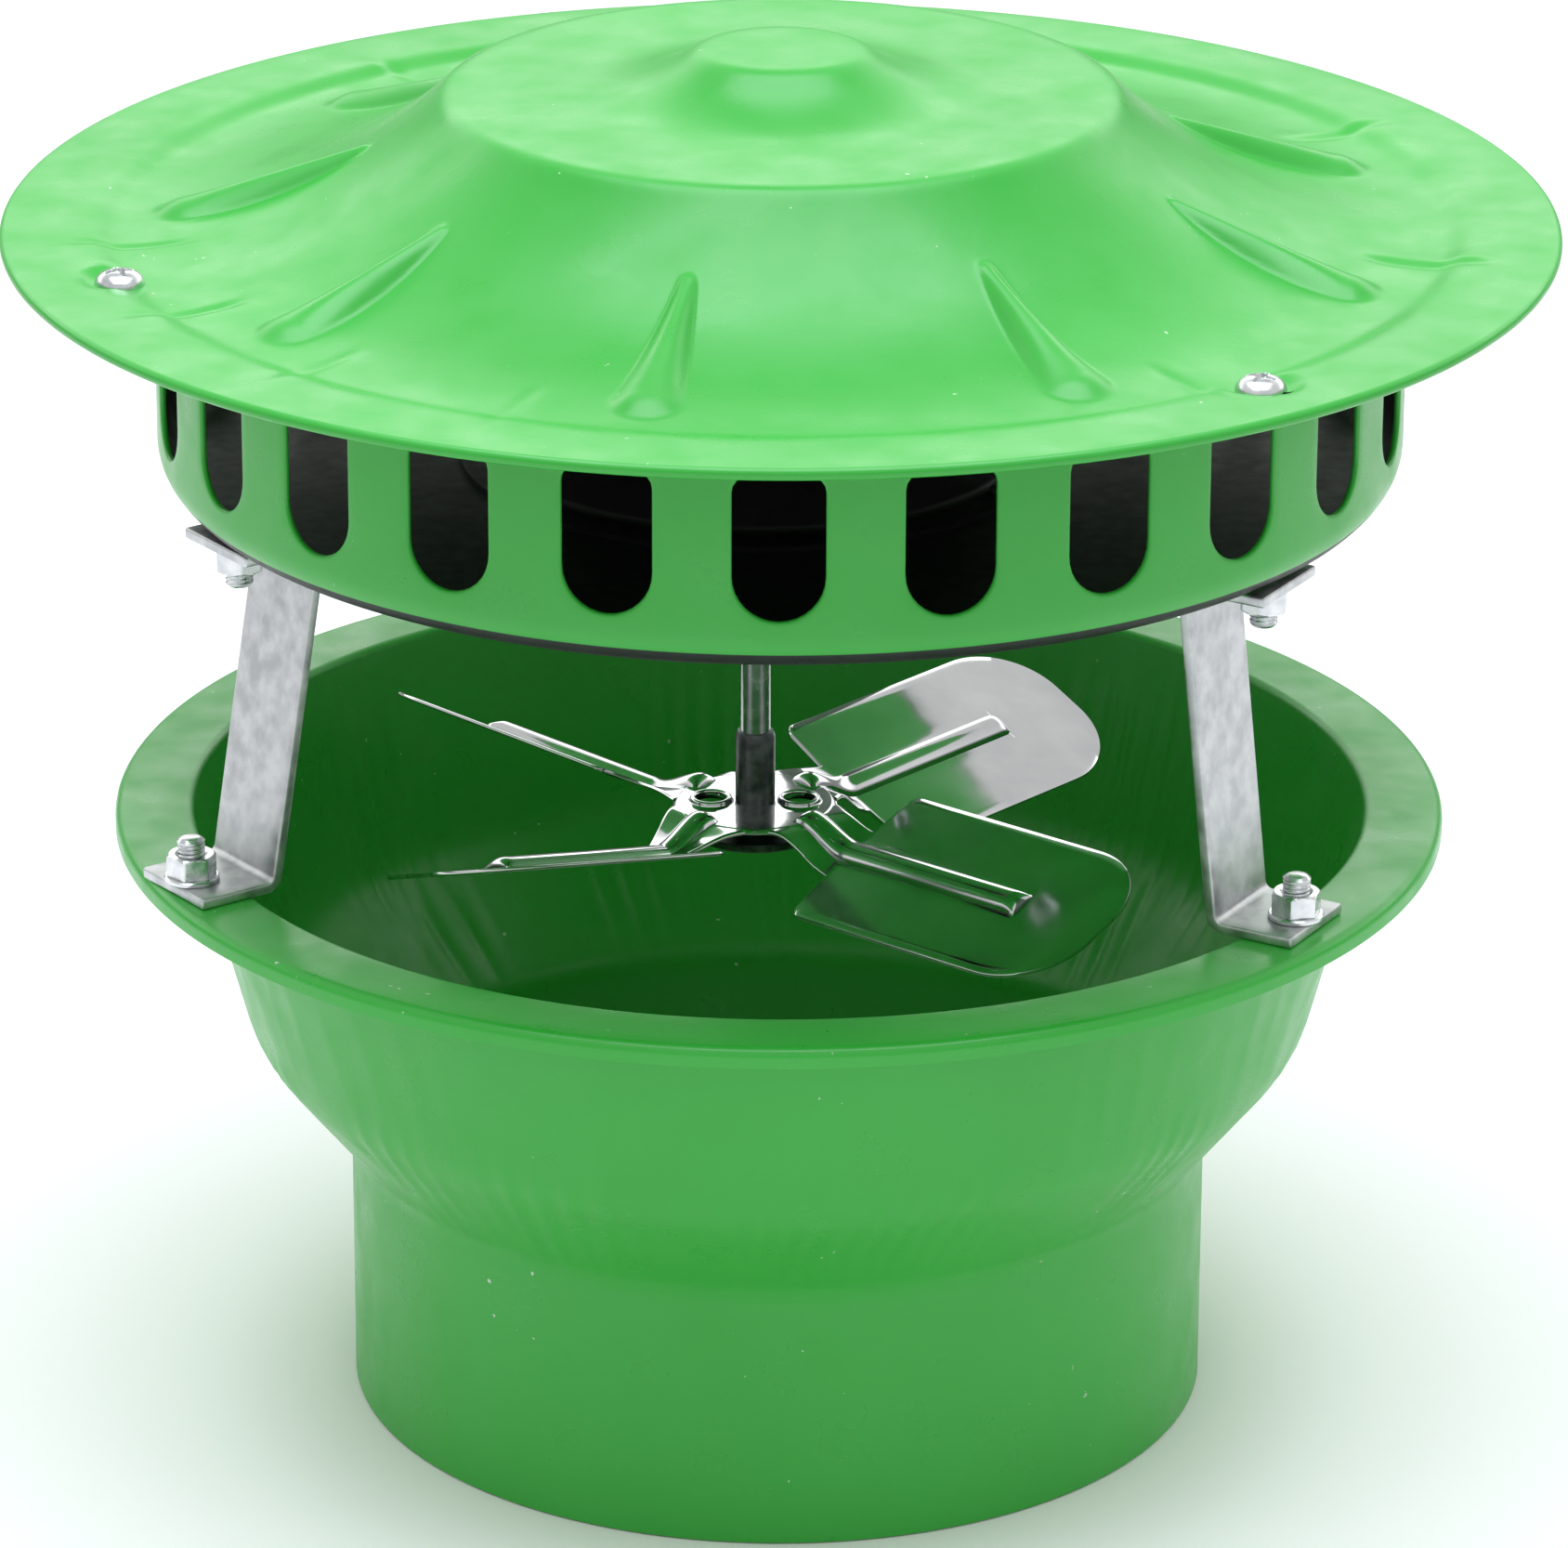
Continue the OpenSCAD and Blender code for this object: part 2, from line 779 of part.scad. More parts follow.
// The drum over the motor, from its foot's edge to the middle of its top
drum_path = let (foot = [drum_foot_r, pan_floor + drum_t], corner = [drum_r, pan_floor + drum_t])
    let (shoulder = [drum_r, pan_floor + drum_h], middle = [0, pan_floor + drum_h])
    concat([foot], rounded(foot, corner, shoulder, 1.5, 3), rounded(corner, shoulder, middle, 5, 5), [middle]);

module motor_drum() {
    color(black) difference() {
        at_shaft()
            spun(drum_path, drum_t);
        at_drum_screws()
            translate([0, 0, pan_floor - 1])
                cylinder(d = small_hole_d, h = drum_t + 2);
    }
}

module drum_screws() {
    color(zinc) at_drum_screws()
        translate([0, 0, pan_floor + drum_t]) {
            pan_head(small_head_d - 0.6, small_head_h);
            mirror([0, 0, 1])
                shank(small_d, drum_t + pan_t + 3);
        }
}

// A rubber bush in the pan's floor, empty, where the motor's lead would pass
module cable_grommet() {
    color(black) translate([0, grommet_y, 0])
        difference() {
            union() {
                translate([0, 0, pan_z - 2])
                    cylinder(d = grommet_d, h = 2);
                translate([0, 0, pan_z - eps])
                    cylinder(d = grommet_groove_d, h = pan_t + 2 * eps);
                translate([0, 0, pan_floor])
                    cylinder(d = grommet_d, h = 2);
            }
            translate([0, 0, pan_z - 3])
                cylinder(d = grommet_bore_d, h = pan_t + 6);
        }
}

module shaft() {
    color(steel) at_shaft() {
        translate([0, 0, shaft_z + 0.6])
            cylinder(d = shaft_d, h = shaft_top - shaft_z - 0.6);
        translate([0, 0, shaft_z])
            cylinder(d1 = shaft_d - 1.2, d2 = shaft_d, h = 0.6);
    }
}

module rotor_core() {
    color(steel) at_shaft()
        translate([0, 0, core_z])
            ring(2 * (core_bore_r - air_gap), shaft_d, core_h);
}

// Two rings pressed on the shaft inside the bearings, which keep it from moving up or down
module thrust_collars() {
    low_z = shield_z + bearing_h + end_play;
    high_z = upper_z + shield_t - bearing_h - end_play - collar_t;
    color(steel) at_shaft()
        for (z = [low_z, high_z])
            translate([0, 0, z])
                ring(collar_d, shaft_d, collar_t);
}

// The bush that holds the impeller on the shaft: a sleeve, a boss under the hub and a round flange
module hub_bush() {
    flange_top = blade_z - 0.4;
    color(steel) at_shaft()
        difference() {
            union() {
                translate([0, 0, flange_top - bush_flange_t])
                    cylinder(r = bush_flange_r, h = bush_flange_t);
                translate([0, 0, flange_top - bush_flange_t - 1.5])
                    cylinder(d = bush_d + 1, h = 2);
                translate([0, 0, flange_top - eps])
                    cylinder(d = bush_boss_d, h = hub_z - blade_t - flange_top + eps);
                translate([0, 0, flange_top])
                    cylinder(d = bush_d, h = hub_z + bush_up - 1 - flange_top);
                translate([0, 0, hub_z + bush_up - 1])
                    cylinder(d1 = bush_d, d2 = bush_d - 0.8, h = 1);
            }
            translate([0, 0, shaft_z - 5])
                cylinder(d = shaft_d, h = hub_z + bush_up - shaft_z + 10);
        }
}

// Distances from the shaft at which a blade's cross-section is drawn
rib_stop_r = rib_end_r - rib_w / 2;
root_end_r = blade_root_r + neck_sink + root_round;
corner_r = blade_r - blade_corner_r;
stations = concat(
    [for (i = [0:6]) rib_start_r + (blade_root_r - rib_start_r) * i / 6],
    [for (a = [0:30:90]) blade_root_r + neck_sink + root_round * (1 - cos(a))],
    [for (a = [0:18:90]) rib_stop_r + rib_w / 2 * sin(a)],
    [for (a = [0:10:90]) corner_r + blade_corner_r * sin(a)]);

// Half of the blade's width at distance r: the neck, the rounded root corners and the rounded tip
function half_width(r) =
    r <= blade_root_r ? neck_w / 2 + neck_flare * pow((blade_root_r - r) / (blade_root_r - rib_start_r), 2) :
    r < root_end_r ? blade_w / 2 - root_round + sqrt(max(0, pow(root_round, 2) - pow(root_end_r - r, 2))) :
    r <= corner_r ? blade_w / 2 :
    blade_w / 2 - blade_corner_r + sqrt(max(0, pow(blade_corner_r, 2) - pow(r - corner_r, 2)));

// The rib's height at distance r, which starts and ends round
function rib_at(r) =
    rib_up * min(
        sqrt(max(0, 1 - pow(max(0, r - rib_stop_r) / (rib_w / 2), 2))),
        sqrt(max(0, 1 - pow(max(0, rib_start_r + rib_w / 2 - r) / (rib_w / 2), 2))));

// How far the neck has gone from the hub's level and pitch to the blade's
function blend(r) = ease((r / rib_start_r - 1.08) / (blade_root_r / rib_start_r - 1.08));

// One cross-section: along the upper face over the rib, and back along the lower face
function section_top(r, half) = concat(
    [[-half, 0]],
    [for (a = [180:-30:0]) [rib_w / 2 * cos(a), rib_at(r) * sin(a)]],
    [[half, 0]]);
function section(r, pitch, lift) =
    let (top = section_top(r, half_width(r)), turn = pitch * blend(r))
    let (z = hub_z - neck_sink - (hub_rise - neck_sink) * blend(r) + max(0, r - blade_root_r) * tan(lift))
    [for (p = concat(top, backwards([for (q = top) q - [0, blade_t]])))
        [r, p[0] * cos(turn) - p[1] * sin(turn), z + p[0] * sin(turn) + p[1] * cos(turn)]];

module blade(pitch, lift) {
    loops = [for (r = stations) section(r, pitch, lift)];
    n = len(loops[0]);
    last = len(stations) - 1;
    sides = [for (i = [0:last - 1], j = [0:n - 1], half = [0, 1])
        let (a = i * n + j, b = i * n + (j + 1) % n)
        half == 0 ? [a, b + n, a + n] : [a, b, b + n]];
    // The end faces are strips between the upper and the lower face
    ends = [for (j = [0:n / 2 - 2], half = [0, 1])
        half == 0 ? [j, n - 2 - j, j + 1] : [j, n - 1 - j, n - 2 - j]];
    tips = [for (f = ends) [for (v = backwards(f)) v + last * n]];
    polyhedron(points = [for (l = loops, p = l) p], faces = concat(sides, ends, tips), convexity = 6);
}

// The hub, necks, blades and ribs are one stamping, with curled rims around the two windows
module impeller() {
    hub_path = concat(
        [[0, hub_z]],
        arc([hub_r - hub_edge, hub_z - hub_edge], hub_edge, 90, 40, 3));
    color(steel) at_shaft()
        difference() {
            union() {
                spun(hub_path, -blade_t);
                for (i = [0:3])
                    rotate(blade_angle[i])
                        blade(blade_pitch[i], blade_lift[i]);
                for (side = [-1, 1])
                    translate([side * window_out, 0, hub_z - blade_t / 2])
                        cylinder(r = window_r + curl_w, h = blade_t / 2 + curl_h);
            }
            for (side = [-1, 1])
                translate([side * window_out, 0, hub_z - 2 * blade_t])
                    cylinder(r = window_r, h = 3 * blade_t + curl_h);
            translate([0, 0, hub_z - hub_rise])
                cylinder(d = bush_d, h = 2 * hub_rise);
        }
}

base_bowl();
leg_left();
leg_right();
leg_rear();
foot_bolts();
foot_washers();
foot_nuts();
cage_pan();
pan_bolts();
pan_nuts();
hat();
hat_screws();
hat_nuts();
motor_posts();
post_screws();
lower_shield();
lower_bearing();
stator_core();
stator_coils();
upper_shield();
upper_bearing();
through_screws();
motor_drum();
drum_screws();
cable_grommet();
shaft();
rotor_core();
thrust_collars();
hub_bush();
impeller();
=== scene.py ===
# %% [markdown]
# Chimney draught fan, dressed for its picture.
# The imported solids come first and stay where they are. This lesson then gives each visible
# surface the form and finish of the real thing: spun and pressed steel sheet under green stoved
# paint, folded galvanised strip, zinc-plated screws and a mirror-bright stamped impeller.

# %% Load the frame
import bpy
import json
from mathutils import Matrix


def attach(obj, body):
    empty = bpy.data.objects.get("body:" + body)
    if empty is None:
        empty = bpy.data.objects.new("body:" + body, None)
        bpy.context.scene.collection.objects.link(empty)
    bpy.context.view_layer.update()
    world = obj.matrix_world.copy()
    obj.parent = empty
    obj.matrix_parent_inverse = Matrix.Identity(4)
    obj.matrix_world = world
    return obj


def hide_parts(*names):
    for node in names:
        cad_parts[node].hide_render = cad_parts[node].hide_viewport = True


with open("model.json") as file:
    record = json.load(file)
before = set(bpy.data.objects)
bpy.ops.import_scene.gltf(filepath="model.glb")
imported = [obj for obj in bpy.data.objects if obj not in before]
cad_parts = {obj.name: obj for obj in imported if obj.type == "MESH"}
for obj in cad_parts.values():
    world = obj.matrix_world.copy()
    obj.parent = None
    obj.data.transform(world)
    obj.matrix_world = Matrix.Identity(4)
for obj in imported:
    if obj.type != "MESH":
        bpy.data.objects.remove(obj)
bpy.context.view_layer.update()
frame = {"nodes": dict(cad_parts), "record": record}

import json
import math
import bpy
import bmesh
import numpy as np
from mathutils import Matrix, Vector

MM = 0.001
pieces = []

# %% [markdown]
# The camera stands where the photographer's did: about 1.5 m from the fan, looking down by
# 21 degrees through a long lens. A long lens keeps the round rims close to true ellipses.

# %% Camera
camera = bpy.data.objects.new("camera", bpy.data.cameras.new("camera"))
bpy.context.scene.collection.objects.link(camera)
LOOK_DOWN = 0.3716
CAMERA_ROLL = 0.0038
CAMERA_YAW = 0.00075
camera.data.sensor_width = 36.0
camera.data.lens = 184.8
camera.data.clip_end = 100.0
camera.matrix_world = (
    Matrix.Translation((0.001967, -1.38830, 0.65933))
    @ Matrix.Rotation(CAMERA_YAW, 4, "Z")
    @ Matrix.Rotation(math.pi / 2 - LOOK_DOWN, 4, "X")
    @ Matrix.Rotation(CAMERA_ROLL, 4, "Z")
)
bpy.context.scene.camera = camera

# %% [markdown]
# Every piece below is a surface worked out on a grid of points: one direction runs along a
# section of the sheet, the other around the axis or along a path. A grid is an array of shape
# (rows, columns, 3) in millimetres. Neighbouring points make the four-cornered faces.

# %% From grids of points to a mesh
def quads(rows, columns, wrap_rows, wrap_columns):
    """Corner numbers of the faces between each point and its three next neighbours."""
    i = np.arange(rows if wrap_rows else rows - 1)[:, None]
    j = np.arange(columns if wrap_columns else columns - 1)[None, :]
    i_next, j_next = (i + 1) % rows, (j + 1) % columns
    corners = [i * columns + j, i * columns + j_next, i_next * columns + j_next, i_next * columns + j]
    return np.stack(np.broadcast_arrays(*corners), -1).reshape(-1, 4)


def make_piece(name, grids, body, slot, replaces=(), sharp=40.0):
    """A mesh object from grids given as (points, rows close, columns close). Points that meet are
    merged, the closed skin is turned outwards and shaded smooth up to an angle in degrees."""
    points, faces, count = [], [], 0
    for grid, wrap_rows, wrap_columns in grids:
        points.append(grid.reshape(-1, 3))
        faces.append(quads(grid.shape[0], grid.shape[1], wrap_rows, wrap_columns) + count)
        count += grid.shape[0] * grid.shape[1]
    mesh = bpy.data.meshes.new(name)
    mesh.from_pydata((np.concatenate(points) * MM).tolist(), [], np.concatenate(faces).tolist())
    bm = bmesh.new()
    bm.from_mesh(mesh)
    bmesh.ops.remove_doubles(bm, verts=bm.verts, dist=2e-6)
    bmesh.ops.dissolve_degenerate(bm, edges=bm.edges, dist=1e-7)
    bmesh.ops.recalc_face_normals(bm, faces=bm.faces)
    holes = sum(edge.is_boundary for edge in bm.edges)
    volume = bm.calc_volume() * 1e6
    bm.to_mesh(mesh)
    bm.free()
    mesh.shade_smooth()
    mesh.set_sharp_from_angle(angle=math.radians(sharp))
    piece = bpy.data.objects.new(name, mesh)
    bpy.context.scene.collection.objects.link(piece)
    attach(piece, body)
    piece["finish"] = slot
    pieces.append(piece)
    if replaces:
        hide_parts(*replaces)
    triangles = sum(len(p.vertices) - 2 for p in mesh.polygons)
    print(f"{name}: {triangles} triangles, {holes} open edges, {volume:.2f} cm3")
    return piece


# %% Rounded paths and sheets
def rounded_path(corners, radii, step=12.0):
    """The polyline through the corners with each inner corner turned into an arc that touches both legs."""
    corners = np.asarray(corners, float)
    path = [corners[0]]
    for k in range(1, len(corners) - 1):
        a, b, c = corners[k - 1], corners[k], corners[k + 1]
        u, w = (a - b) / np.linalg.norm(a - b), (c - b) / np.linalg.norm(c - b)
        half = math.acos(float(np.clip(u @ w, -1, 1))) / 2
        mid = (u + w) / np.linalg.norm(u + w)
        centre = b + mid * radii[k - 1] / math.sin(half)
        start, end = b + u * radii[k - 1] / math.tan(half) - centre, b + w * radii[k - 1] / math.tan(half) - centre
        first = math.atan2(start[1], start[0])
        turn = math.atan2(start[0] * end[1] - start[1] * end[0], start @ end)
        count = max(2, math.ceil(abs(math.degrees(turn)) / step))
        angle = first + turn * np.arange(count + 1) / count
        path.extend(centre + radii[k - 1] * np.stack([np.cos(angle), np.sin(angle)], 1))
    path.append(corners[-1])
    return np.array(path)


def spread(path, longest):
    """The same path with points added so that no straight part is longer than the given length."""
    out = [path[0]]
    for a, b in zip(path[:-1], path[1:]):
        parts = max(1, math.ceil(np.linalg.norm(b - a) / longest))
        out.extend(a + (b - a) * np.arange(1, parts + 1)[:, None] / parts)
    return np.array(out)


def left_normals(path):
    """Unit vectors to the left of the path, each the mean of its two neighbours' directions."""
    step = np.diff(path, axis=0)
    step /= np.linalg.norm(step, axis=1)[:, None]
    before, after = np.vstack([step[:1], step]), np.vstack([step, step[-1:]])
    mean = before + after
    mean /= np.linalg.norm(mean, axis=1)[:, None]
    normal = np.stack([-mean[:, 1], mean[:, 0]], 1)
    stretch = 1 / np.maximum(0.5, np.einsum("ij,ij->i", mean, after))
    return normal * stretch[:, None]


def around(path, angles, centre=(0.0, 0.0)):
    """The path of (radius, height) points carried around an upright axis: a grid with one row per angle."""
    r, z = path[None, :, 0], path[None, :, 1]
    cos, sin = np.cos(angles)[:, None], np.sin(angles)[:, None]
    return np.stack([r * cos + centre[0], r * sin + centre[1], np.broadcast_to(z, (len(angles), len(path)))], -1)


def full_turn(count):
    return np.arange(count) * 2 * math.pi / count


def turned(outline, count=64, centre=(0.0, 0.0)):
    """A solid of revolution as one grid. The outline may start and end on the axis, or close on
    itself around a bore."""
    on_axis = outline[0][0] == 0 and outline[-1][0] == 0
    return around(np.asarray(outline, float), full_turn(count), centre), True, not on_axis


def smooth_step(x):
    """0 below 0, 1 above 1, and 3x^2 - 2x^3 between."""
    x = np.clip(x, 0, 1)
    return x * x * (3 - 2 * x)


# %% [markdown]
# The sizes below are the ones that the solids were made with, in millimetres. The collar of
# 160 mm is a standard flue size, and the rest follows from it.

# %% Sizes
COLLAR_R, COLLAR_H, BOWL_T = 80.0, 50.0, 1.2
KNEE_R, KNEE_Z = 98.6, 72.5
LIP_INNER_R, LIP_OUTER_R, LIP_Z, LIP_ROUND, LIP_TURN = 108.3, 122.6, 115.4, 1.8, 3.6
PAN_R, PAN_Z, PAN_H, PAN_T, PAN_CORNER = 113.1, 180.0, 44.0, 1.2, 7.0
FLANGE_R = PAN_R + 16.0
SLOTS, SLOT_W, SLOT_H, SLOT_RISE, SLOT_CORNER = 24, 16.0, 26.0, 9.7, 3.0
HAT_T, RIM_R, HEM_W, STEP_R, STEP_H = 1.0, 140.4, 5.0, 122.0, 1.5
PLATEAU_R, PLATEAU_H = 60.3, 25.1
KNOB_R, KNOB_FOOT_R, KNOB_H = 15.0, 36.0, 7.6
FLANGE_Z = PAN_Z + PAN_H
DISH_Z = FLANGE_Z + HAT_T
BAND_Z = DISH_Z + STEP_H
PLATEAU_Z = DISH_Z + PLATEAU_H
SHAFT_X = -4.4

# %% [markdown]
# The collar, bowl and lip are one blank, drawn and spun over a former. Where the bowl narrows
# above the collar's crease the sheet has to shrink, and it gathers into slanting wrinkles that
# the roller irons almost flat. They are real unevenness of the sheet, so they are in the shape:
# each wrinkle moves the sheet in or out along its own normal by a few tenths of a millimetre.

# %% Bowl
def wrinkles(angle, height, low, high, count, slant, seed):
    """Ridges around a ring: |sin| waves whose phase drifts with height, faded in and out over the
    ring, with a slow random strength around the turn."""
    rng = np.random.default_rng(seed)
    phase = count * angle + slant * (height - low)
    strength = np.zeros_like(angle)
    for k in range(1, 9):
        strength = strength + np.sin(k * 2 * angle + rng.uniform(0, 6.3)) * rng.uniform(0.3, 1)
        phase = phase + 2.2 * np.sin(k * 3 * angle + rng.uniform(0, 6.3)) / k
    strength = smooth_step(0.5 + 0.35 * strength)
    middle = (low + high) / 2
    fade = smooth_step((height - low) / (middle - low)) * smooth_step((high - height) / (high - middle))
    return strength * fade * (np.abs(np.sin(phase / 2)) - 0.6)


inner_r = COLLAR_R - BOWL_T
bowl_corners = [
    (inner_r, 0),
    (inner_r, COLLAR_H),
    (KNEE_R - BOWL_T * 1.1, KNEE_Z + BOWL_T * 0.5),
    (LIP_INNER_R, LIP_Z),
    (LIP_OUTER_R, LIP_Z),
    (LIP_OUTER_R, LIP_Z - LIP_TURN),
]
bowl_path = spread(rounded_path(bowl_corners, [9, 20, 1.6, LIP_ROUND], step=9), 3.4)
bowl_normal = left_normals(bowl_path)
outer_path = bowl_path - bowl_normal * BOWL_T
bowl_angles = full_turn(720)


def bowl_grid(path, normal, inside):
    """The path around the axis, moved along its normal by the wrinkles."""
    a, z = np.meshgrid(bowl_angles, path[:, 1], indexing="ij")
    wall = (path[:, 0] < LIP_INNER_R - 0.5)[None, :]
    if inside:
        move = 0.55 * wrinkles(a, z, 58, 114, 120, 0.035, 3) + 0.5 * wrinkles(a, z, 47, 74, 96, -0.16, 5)
    else:
        move = 0.5 * wrinkles(a, z, 46, 84, 110, -0.16, 5) + 0.16 * wrinkles(a, z, 70, 114, 80, 0.05, 9)
    move = move * wall
    grid = around(path, bowl_angles)
    cos, sin = np.cos(a), np.sin(a)
    shift = np.stack([normal[None, :, 0] * cos, normal[None, :, 0] * sin, np.broadcast_to(normal[None, :, 1], a.shape)], -1)
    return grid + shift * move[..., None]


inside = bowl_grid(bowl_path, bowl_normal, True)
outside = bowl_grid(outer_path, bowl_normal, False)[:, ::-1]
bowl = (np.concatenate([inside, outside], axis=1), True, True)
bowl_piece = make_piece("spun_bowl", [bowl], "cowl", "bowl_paint", ["base_bowl"], sharp=60)

# %% [markdown]
# The hat is one pressed sheet. Its section is a knob, a flat ring, a flared slope, a shallow step
# and a band that ends in a folded hem. The nine teardrop stiffeners and the faint marks of the
# press between them change the height with the angle as well, so the hat is worked out as a
# height over the plane and its lower face follows one sheet's thickness below.

# %% Hat
RIB_COUNT, RIB_PHASE = 9, math.radians(18)
RIB_INNER_R, RIB_OUTER_R, RIB_INNER_W, RIB_OUTER_W, RIB_STAND = 76.0, 107.0, 1.8, 6.3, 2.4
FLARE_R = RIB_OUTER_R + 11
HAT_SCREW_ANGLE = np.radians([-162, -49, 78])
HAT_SCREW_R = PAN_R + np.array([9.1, 11.2, 10.3])
MARK_STRENGTH = {-172: 0.5, -152: 0.55, -12: 0.5, -133: 0.25, -113: 0.25, -53: 0.3, 28: 0.35, 68: 0.3, 108: 0.3, 128: 0.25}


def flank(r0, r1, drop, z1, count):
    """A concave arc from (r0, z1 + drop) that runs out level at (r1, z1)."""
    steep = 2 * math.atan(drop / (r1 - r0))
    bend = (r1 - r0) / math.sin(steep)
    angle = -math.pi / 2 - steep * (1 - np.arange(count + 1) / count)
    return np.stack([r1 + bend * np.cos(angle), z1 + bend + bend * np.sin(angle)], 1)


def flare_height(r):
    """Height of the flared slope at radius r, on the same arc."""
    bend = (FLARE_R - PLATEAU_R) / math.sin(2 * math.atan(PLATEAU_H / (FLARE_R - PLATEAU_R)))
    return DISH_Z + bend - np.sqrt(np.maximum(0, bend**2 - (FLARE_R - np.clip(r, PLATEAU_R, FLARE_R)) ** 2))


def soften(path, reach):
    """Points within reach of a kink are pulled towards the mean of their neighbours, a few times over."""
    path = path.copy()
    for _ in range(reach):
        path[1:-1] = 0.25 * path[:-2] + 0.5 * path[1:-1] + 0.25 * path[2:]
    return path


def hat_section():
    """The hat's upper face as (radius, height) points, from the axis to the hem."""
    hem_r = HAT_T * 1.1
    turn = np.radians(np.arange(90, -91, -15.0))
    parts = [
        [(0.0, PLATEAU_Z + KNOB_H)],
        flank(KNOB_R, KNOB_FOOT_R, KNOB_H, PLATEAU_Z, 10),
        flank(PLATEAU_R, FLARE_R, PLATEAU_H, DISH_Z, 36),
        [(STEP_R - 2.2, DISH_Z), (STEP_R + 1.4, BAND_Z)],
        [(RIM_R - hem_r - 3, BAND_Z)],
    ]
    open_part = soften(spread(np.vstack(parts), 1.3), 3)
    hem = np.stack([RIM_R - hem_r + hem_r * np.cos(turn), BAND_Z - hem_r + hem_r * np.sin(turn)], 1)
    return np.vstack([open_part, hem, [(RIM_R - HEM_W, BAND_Z - 2 * hem_r)]])


def stiffener(r, angle):
    """How far a teardrop stands out of the slope: a parabola across the drop, whose ridge is a
    straight line from the narrow end to the wide end, with a soft foot."""
    pitch = 2 * math.pi / RIB_COUNT
    off = (angle - RIB_PHASE + pitch / 2) % pitch - pitch / 2
    across, along = r * np.sin(off), r * np.cos(off)
    share = np.clip((along - RIB_INNER_R) / (RIB_OUTER_R - RIB_INNER_R), 0, 1)
    axis = RIB_INNER_R + share * (RIB_OUTER_R - RIB_INNER_R)
    width = RIB_INNER_W + share * (RIB_OUTER_W - RIB_INNER_W)
    inner_z, outer_z = flare_height(np.array(RIB_INNER_R)) + 1.0, flare_height(np.array(RIB_OUTER_R)) + RIB_STAND
    stand = np.maximum(0.8, inner_z + share * (outer_z - inner_z) - flare_height(axis))
    distance = np.hypot(across, along - axis) / width
    x = stand * (1 - distance**2)
    x = np.maximum(x, -4.0)
    rounded = 0.5 * (x + np.sqrt(x * x + 0.12)) - 0.5 * (-4.0 + math.sqrt(16.12))
    return np.where(np.abs(off) < 0.2, np.maximum(0, rounded), 0)


def press_marks(r, angle):
    """Shallow radial creases over the step, where the sheet was gripped between the stiffeners."""
    depth = np.zeros_like(r)
    for degrees, strength in MARK_STRENGTH.items():
        off = (angle - math.radians(degrees) + math.pi) % (2 * math.pi) - math.pi
        window = smooth_step((r - 103) / 8) * smooth_step((131 - r) / 8)
        depth += strength * np.exp(-((r * off / 1.5) ** 2)) * window
        depth -= 0.5 * strength * np.exp(-(((r * off - 2.6) / 2.2) ** 2)) * window
    return depth


def screw_seats(r, angle):
    """The sheet is drawn down onto the pan's flange around each screw, in a round dimple."""
    depth = np.zeros_like(r)
    for screw_r, screw_angle in zip(HAT_SCREW_R, HAT_SCREW_ANGLE):
        x = r * np.cos(angle) - screw_r * math.cos(screw_angle)
        y = r * np.sin(angle) - screw_r * math.sin(screw_angle)
        depth = np.maximum(depth, smooth_step((7.6 - np.hypot(x, y)) / 2.6))
    return depth


def hat_angles():
    """Close together over the stiffeners, marks and screws, and wide apart between them."""
    fine = [np.degrees(RIB_PHASE) + 40 * k + np.arange(-4.4, 4.5, 0.32) for k in range(RIB_COUNT)]
    fine += [d + np.arange(-1.6, 1.7, 0.4) for d in MARK_STRENGTH]
    fine += [np.degrees(a) + np.arange(-3.4, 3.5, 0.5) for a in HAT_SCREW_ANGLE]
    coarse = np.arange(0, 360, 1.8)
    fine = np.sort(np.concatenate(fine) % 360)
    gap = np.abs((coarse[:, None] - fine[None, :] + 180) % 360 - 180).min(1)
    angles = np.sort(np.concatenate([fine, coarse[gap > 0.7]]))
    keep = np.append(True, np.diff(angles) > 0.2)
    return np.radians(angles[keep])


def hat_height(r, angle, base):
    """The hat's height with its stiffeners, marks and seats, given the plain section's height."""
    band = smooth_step((RIM_R - 4 - r) / 4)
    seat = screw_seats(r, angle)
    lifted = base + stiffener(r, angle) - press_marks(r, angle) * band
    return np.where(r < RIM_R - 2, lifted * (1 - seat) + np.minimum(lifted, DISH_Z) * seat, lifted)


hat_path = hat_section()
hat_normal = left_normals(hat_path)
under_path = hat_path - hat_normal * HAT_T
under_path[:, 0] = np.maximum(under_path[:, 0], 0)
under_path = np.delete(under_path, np.arange(2, len(under_path) - 22, 2), axis=0)
angles = hat_angles()


def hat_face(path):
    """One face of the hat as a grid. The heights change with the angle, the radii don't."""
    grid = around(path, angles)
    a, r = np.meshgrid(angles, path[:, 0], indexing="ij")
    z = grid[..., 2]
    lift = hat_height(r, a, z) - z
    hem = np.arange(len(path)) > len(path) - 16
    grid[..., 2] = z + np.where(hem[None, :], 0, lift)
    return grid


hat_grid = np.concatenate([hat_face(hat_path), hat_face(under_path)[:, ::-1]], axis=1)
hat_piece = make_piece("pressed_hat", [(hat_grid, True, False)], "cowl", "hat_paint", ["hat"], sharp=60)

# %% [markdown]
# The pan's wall has 24 slots with round lower ends. A wall with holes can't be one plain grid,
# so the wall is cut into equal cells, one around each slot. In a cell the grid's rows run from
# the cell's border on the outer face to the slot's edge, round that edge, and back to the border
# on the inner face. The rounded edge is what catches the light as a thin pale line.

